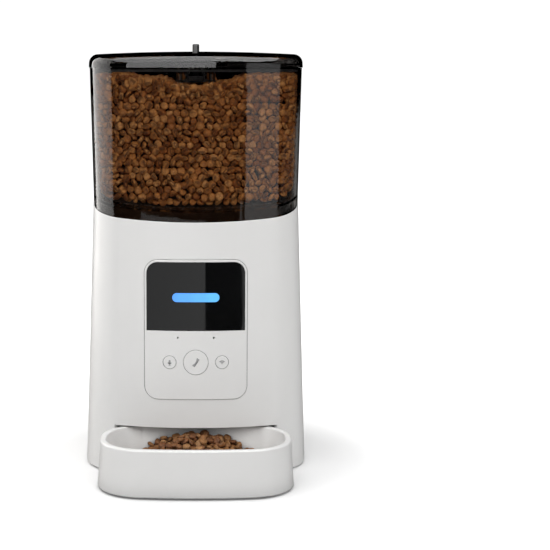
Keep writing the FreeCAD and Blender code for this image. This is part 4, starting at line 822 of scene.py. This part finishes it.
# %% Where food may lie
under_lid = {n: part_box(n) for n in ("latch_guide", "desiccant_box", "desiccant_cap", "latch_bolt_front",
                                    "latch_bolt_rear")}
FOOD_TOP, DIP, DIP_WIDTH = 346 * MM, 9 * MM, 42 * MM
BESIDE_PART, BELOW_PART, BELOW_SEAM = 4 * MM, 1 * MM, 4 * MM     # room round what hangs from the lid
RIM_FRONT, LEDGE_RISE = 220.0 * MM, 12.5 * MM
WALL_GAP = 3.2 * MM       # from the wall to a disc's middle
GAP = 6.4 * MM            # between the middles of neighbours


def top_at(x, y):
    """The load's surface, kept under what hangs from the lid as it is at rest."""
    ripple = (1.6 * MM * np.sin(x / (13 * MM) + 0.7) * np.cos(y / (17 * MM))
              + 1.0 * MM * np.sin(x / (6.1 * MM)))
    level = FOOD_TOP - DIP * np.exp(-(x / DIP_WIDTH) ** 2) + ripple
    for low, high in under_lid.values():
        inside = ((x > low.x - BESIDE_PART) & (x < high.x + BESIDE_PART)
                  & (y > low.y - BESIDE_PART) & (y < high.y + BESIDE_PART))
        level = np.where(inside, np.minimum(level, low.z - BELOW_PART), level)
    return np.minimum(level, tank_high.z - BELOW_SEAM)


def wall_at(x, y, z, table):
    """How far the wall is from the middle line, in the direction of each point."""
    turn = np.arctan2(y - axis_y, x)
    level = np.clip((z - heights[0]) / (heights[1] - heights[0]), 0, LEVELS - 1.001)
    step = (turn + math.pi) / (2 * math.pi) * ANGLES
    i, j = level.astype(int), np.floor(step).astype(int) % ANGLES
    u, v = level - i, step - np.floor(step)
    k = (j + 1) % ANGLES
    return ((table[i, j] * (1 - v) + table[i, k] * v) * (1 - u)
            + (table[i + 1, j] * (1 - v) + table[i + 1, k] * v) * u)


def ledge_at(y):
    """The tank's ledge slopes up towards the back with the body's rim."""
    rim_low, rim_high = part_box("body_shell")
    slope = (rim_high.z - RIM_FRONT) / (rim_high.y - rim_low.y)
    return RIM_FRONT + (y - rim_low.y) * slope + LEDGE_RISE


def hold_in_tank(points):
    """Pulls each point inside the wall, above the ledge and below the load's surface."""
    x, y = points[:, 0], points[:, 1]
    z = np.minimum(points[:, 2], top_at(x, y) - FOOD_HALF * 1.3)
    z = np.maximum(z, ledge_at(y))
    out = np.hypot(x, y - axis_y)
    limit = wall_at(x, y, z, clear_at) - WALL_GAP
    pull = np.minimum(1.0, limit / np.maximum(out, 1e-6))
    return np.column_stack([x * pull, axis_y + (y - axis_y) * pull, z])


print("food top in mm at the middle and the side:", np.round(top_at(np.array([0.0, 0.07]),
                                                                    np.zeros(2)) / MM, 1))

# %% Lay the discs
SECOND_ROW = 5.6 * MM                  # how far the second row lies behind the first
RING_RISE, TOP_STEP = GAP * 0.84, GAP * 0.93
TOP_SPAN, TOP_SHARE = 90 * MM, 0.62    # half the top's width, and its depth as a share
SETTLING, QUICK_SETTLING = 14, 4
PIECES = 5
rows = []
for depth in (0.0, SECOND_ROW):
    z = RIM_FRONT + 12 * MM
    while z < FOOD_TOP:
        around = wall_at(np.cos(angle_steps), axis_y + np.sin(angle_steps), np.full(ANGLES, z), clear_at)
        around = around - WALL_GAP - depth
        count = max(6, int(2 * math.pi * around.mean() / GAP))
        share = (np.arange(count) + dice.uniform(0, 1)) / count
        px, py = around * np.cos(angle_steps), around * np.sin(angle_steps)
        length = np.cumsum(np.hypot(np.diff(px, append=px[0]), np.diff(py, append=py[0])))
        turn = np.interp(share, np.concatenate([[0], length / length[-1]]), np.append(angle_steps, math.pi))
        out = wall_at(np.cos(turn), axis_y + np.sin(turn), np.full(count, z), clear_at) - WALL_GAP - depth
        spot = np.column_stack([out * np.cos(turn), axis_y + out * np.sin(turn), np.full(count, z)])
        spot = spot[z > ledge_at(spot[:, 1]) - 2 * MM]
        rows.append(spot + dice.normal(0, 1.2 * MM, spot.shape))
        z += RING_RISE
spans = np.arange(-TOP_SPAN, TOP_SPAN, TOP_STEP)
x, y = [v.ravel() for v in np.meshgrid(spans, spans * TOP_SHARE + axis_y)]
for sink in (1.0, 3.4):
    spot = np.column_stack([x, y, top_at(x, y) - FOOD_HALF * sink])
    kept = np.hypot(x, y - axis_y) < wall_at(x, y, spot[:, 2], clear_at) - 13 * MM
    rows.append(spot[kept] + dice.normal(0, 1.0 * MM, (kept.sum(), 3)))
load = spread(hold_in_tank(np.vstack(rows)), GAP, SETTLING,
              hold_in_tank)
on_top = load[:, 2] > top_at(load[:, 0], load[:, 1]) - 6 * MM
load[:, 2] -= np.where(on_top, dice.uniform(0, 3.0 * MM, len(load)), 0)
out = np.hypot(load[:, 0], load[:, 1] - axis_y)
near_wall = out > wall_at(load[:, 0], load[:, 1], load[:, 2], clear_at) - 6.5 * MM
away = np.column_stack([load[:, 0], load[:, 1] - axis_y, np.zeros(len(load))]) / out[:, None]
away[~near_wall] = (0, 0, 1)
turns = turned(len(load), 0.30, away)
sizes = dice.uniform(0.84, 1.08, len(load))
order = np.argsort(np.arctan2(load[:, 1] - axis_y, load[:, 0]), kind="stable")
for part, members in enumerate(np.array_split(order, PIECES)):
    food_piece(f"tank_food_{part + 1}", load[members], turns[members], sizes[members], "hopper",
               tank_crust)
print("discs in the tank:", len(load))

# %% Dark core, painted shade
CORE_SIDES, CORE_LEVELS, CORE_INSET = 96, 40, 8.5 * MM
# painted shade: the core's near-black brown stands in for the shade deep in the load
food_core_shade = moulded("food_core_shade", (0.040, 0.018, 0.008), 0.8, grain=300.0, depth=0.8, drift=0.4,
                      dust=0.0)


def bridge(shape, rings):
    """Joins each ring of points to the next with four-sided faces."""
    for lower, upper in zip(rings, rings[1:]):
        for k in range(len(lower)):
            n = (k + 1) % len(lower)
            shape.faces.new((lower[k], lower[n], upper[n], upper[k]))


def core_piece(name, rings, body):
    """A closed lump with a rough near-black skin, painted shade that fills the load behind the visible
    discs.
    """
    mesh, shape = bpy.data.meshes.new(name), bmesh.new()
    loops = [[shape.verts.new(p) for p in ring] for ring in rings]
    bridge(shape, loops)
    shape.faces.new(list(reversed(loops[0])))
    middle = shape.verts.new(sum((v.co for v in loops[-1]), Vector()) / len(loops[-1]))
    for k in range(len(loops[-1])):
        shape.faces.new((loops[-1][k], loops[-1][(k + 1) % len(loops[-1])], middle))
    bmesh.ops.recalc_face_normals(shape, faces=shape.faces)
    shape.to_mesh(mesh)
    shape.free()
    for face in mesh.polygons:
        face.use_smooth = True
    mesh.materials.append(food_core_shade)
    piece = bpy.data.objects.new(name, mesh)
    bpy.context.scene.collection.objects.link(piece)
    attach(piece, body)
    print(name, len(mesh.polygons), "faces")


core_rings = []
core_turns = np.linspace(-math.pi, math.pi, CORE_SIDES, endpoint=False)
for z in np.linspace(heights[0] + 3 * MM, FOOD_TOP - DIP - 9 * MM, CORE_LEVELS):
    out = wall_at(np.cos(core_turns), axis_y + np.sin(core_turns), np.full(CORE_SIDES, z), clear_at)
    core_rings.append([Vector((o * math.cos(t), axis_y + o * math.sin(t), z))
                       for o, t in zip(out - CORE_INSET, core_turns)])
core_piece("tank_food_core", core_rings, "hopper")

# %% [markdown]
# ## The portion in the tray
# What the rotor lets fall slides down the chute and piles up against the body, so the
# heap is a low mound, highest where the chute ends and flat towards the tray's sides.
# The tray is measured from above and the discs are laid on its floor in that shape.

# %% Lay the portion
tray_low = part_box("feeding_tray")[0]
tray = tree_of("feeding_tray")
HEAP_TOP, HEAP_REACH = 36.5 * MM, 58 * MM
HEAP_SHARE, HEAP_LAYERS = 0.62, 7      # the heap's depth as a share of its width
BOWL_FLOOR = 22 * MM                   # what lies higher is the tray's rim
heap_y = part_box("body_shell")[0].y + 6 * MM


def tray_floor(x, y):
    """The tray's height under each point, or nothing where the point is beside the tray."""
    hits = [tray.ray_cast(Vector((a, b, 0.2)), Vector((0, 0, -1)))[0] for a, b in zip(x, y)]
    return np.array([h.z if h is not None else np.nan for h in hits])


spans = np.arange(-HEAP_REACH, HEAP_REACH, GAP * 0.78)
x, y = [v.ravel() for v in np.meshgrid(spans, spans)]
inside = np.hypot(x / HEAP_REACH, y / (HEAP_REACH * HEAP_SHARE)) < 1.0
x, y = x[inside], y[inside] + heap_y
kept = y > tray_low.y + 12 * MM
x, y = x[kept], y[kept]
base = tray_floor(x, y)
low_enough = base < BOWL_FLOOR
x, y, base = x[low_enough], y[low_enough], base[low_enough]
fall = np.hypot(x / HEAP_REACH, (y - heap_y) / (HEAP_REACH * HEAP_SHARE))
peak = base + (HEAP_TOP - base) * np.clip(1 - fall ** 1.7, 0, 1)
heap = []
for layer in range(HEAP_LAYERS):
    z = base + FOOD_HALF + layer * FOOD_HALF * 1.7
    ok = z < peak
    heap.append(np.column_stack([x, y, z])[ok] + dice.normal(0, 0.9 * MM, (ok.sum(), 3)))
heap = np.vstack(heap)
print("discs in the tray:", len(heap), "floor at", round(base.min() / MM, 1), "mm")
heap_sizes = dice.uniform(0.86, 1.06, len(heap))
heap_turns = turned(len(heap), 0.45, np.tile((0.0, 0.0, 1.0), (len(heap), 1)))
food_piece("tray_food", heap, heap_turns, heap_sizes, "tray", shaded_tray_crust)

# %% [markdown]
# ## Marks on the keys
# The three keys carry small grey marks: a microphone for recording a call, a bone for a
# meal by hand, and a radio fan for pairing. On the real keys they are pad-printed, a
# few hundredths of a millimetre thick. Here each is a thin inlay laid on its key's face.

# %% Marks
BONE_POINTS = 120
INLAY_RINGS = ((1.0, -0.5), (1.0, 0.7), (0.97, 1.0))   # each ring's size and lift, as shares


def arc(radius, start, end, steps=20, centre=(0.0, 0.0)):
    """Points along an arc; its angles are in degrees."""
    return [(centre[0] + radius * math.cos(math.radians(start + (end - start) * k / steps)),
             centre[1] + radius * math.sin(math.radians(start + (end - start) * k / steps)))
            for k in range(steps + 1)]


def band(inner, outer, start, end, centre=(0.0, 0.0)):
    """The outline of a curved band."""
    return arc(outer, start, end, centre=centre) + arc(inner, end, start, centre=centre)


def bar(left, right, bottom, top):
    """The outline of a straight bar."""
    return [(left, bottom), (right, bottom), (right, top), (left, top)]


def bone_outline(half_length, half_shaft, lobe, spread_out, tilt):
    """Follows the bone's edge: at each angle, how far out its round ends or its shaft reach."""
    outline = []
    lobes = [(sx * half_length, sy * spread_out) for sx in (-1, 1) for sy in (-1, 1)]
    for k in range(BONE_POINTS):
        way = 2 * math.pi * k / BONE_POINTS
        c, s = math.cos(way), math.sin(way)
        reach = min(half_length / max(abs(c), 1e-6), half_shaft / max(abs(s), 1e-6))
        for x, y in lobes:
            along, aside = x * c + y * s, abs(x * s - y * c)
            if along > 0 and aside < lobe:
                reach = max(reach, along + math.sqrt(lobe ** 2 - aside ** 2))
        outline.append((reach * math.cos(way + tilt), reach * math.sin(way + tilt)))
    return outline


def mark(name, outlines, key, body, proud=0.06 * MM):
    """Lays flat outlines, drawn in millimetres round the key's middle, on the key's front face."""
    low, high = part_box(key)
    face = tree_of(key)
    shape = bmesh.new()
    for outline in outlines:
        cx = sum(u for u, v in outline) / len(outline)
        cz = sum(v for u, v in outline) / len(outline)
        rings = []
        for inset, lift in INLAY_RINGS:
            ring = []
            for u, v in outline:
                spot = Vector(((low.x + high.x) / 2 + (cx + (u - cx) * inset) * MM, low.y - 5 * MM,
                               (low.z + high.z) / 2 + (cz + (v - cz) * inset) * MM))
                hit = face.ray_cast(spot, Vector((0, 1, 0)))[0]
                ring.append(shape.verts.new((hit.x, hit.y - proud * lift, hit.z)))
            rings.append(ring)
        bridge(shape, rings)
        shape.faces.new(rings[-1])
        shape.faces.new(list(reversed(rings[0])))
    bmesh.ops.triangulate(shape, faces=[f for f in shape.faces if len(f.verts) > 4])
    bmesh.ops.recalc_face_normals(shape, faces=shape.faces)
    mesh = bpy.data.meshes.new(name)
    shape.to_mesh(mesh)
    shape.free()
    mesh.materials.append(print_grey)
    piece = bpy.data.objects.new(name, mesh)
    bpy.context.scene.collection.objects.link(piece)
    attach(piece, body)
    print(name, len(mesh.polygons), "faces")


print_grey = moulded("print_grey", (0.36, 0.36, 0.36), 0.5, drift=0.05, depth=0.004, dust=0.05)
capsule = arc(0.85, 0, 180, centre=(0, 1.15)) + arc(0.85, 180, 360, centre=(0, -0.15))
mark("microphone_mark", [capsule, band(1.25, 1.65, 180, 360, (0, -0.15)), bar(-0.22, 0.22, -2.5, -1.8),
     bar(-0.95, 0.95, -2.85, -2.5)], "record_button", "record_key")
mark("bone_mark", [bone_outline(3.3, 0.42, 0.72, 0.62, math.radians(57))], "feed_button", "feed_key")
mark("radio_mark", [band(0.01, 0.75, 45, 135, (0, -1.7)), band(1.05, 2.05, 45, 135, (0, -1.7)),
     band(2.35, 3.45, 45, 135, (0, -1.7))], "pairing_button", "pairing_key")

# %% [markdown]
# ## A lamp for the food
# Smoked plastic takes light away twice, on its way in and on its way out. A lamp aimed at
# the load alone makes up for that. It lights only the food, so the white plastic around
# it keeps its even tone.

# %% Food lamp
LAMP_PLACE, LAMP_SIZE = (0.25, -1.35, 1.15), 0.40
LAMP_WATTS, LAMP_COLOUR = 46.0, (1.0, 0.95, 0.88)
tank_only = bpy.data.collections.new("tank_food_only")
for piece in [o for o in bpy.data.objects if o.name.startswith("tank_food")]:
    tank_only.objects.link(piece)
lamp = bpy.data.lights.new("food_lamp", "AREA")
lamp.shape, lamp.size, lamp.energy, lamp.color = "SQUARE", LAMP_SIZE, LAMP_WATTS, LAMP_COLOUR
food_lamp = bpy.data.objects.new("food_lamp", lamp)
food_lamp.location = LAMP_PLACE
aim = Vector((0, 0, (tank_low.z + tank_high.z) / 2)) - food_lamp.location
food_lamp.rotation_euler = aim.to_track_quat("-Z", "Y").to_euler()
food_lamp.visible_glossy = False
food_lamp.light_linking.receiver_collection = tank_only
bpy.context.scene.collection.objects.link(food_lamp)
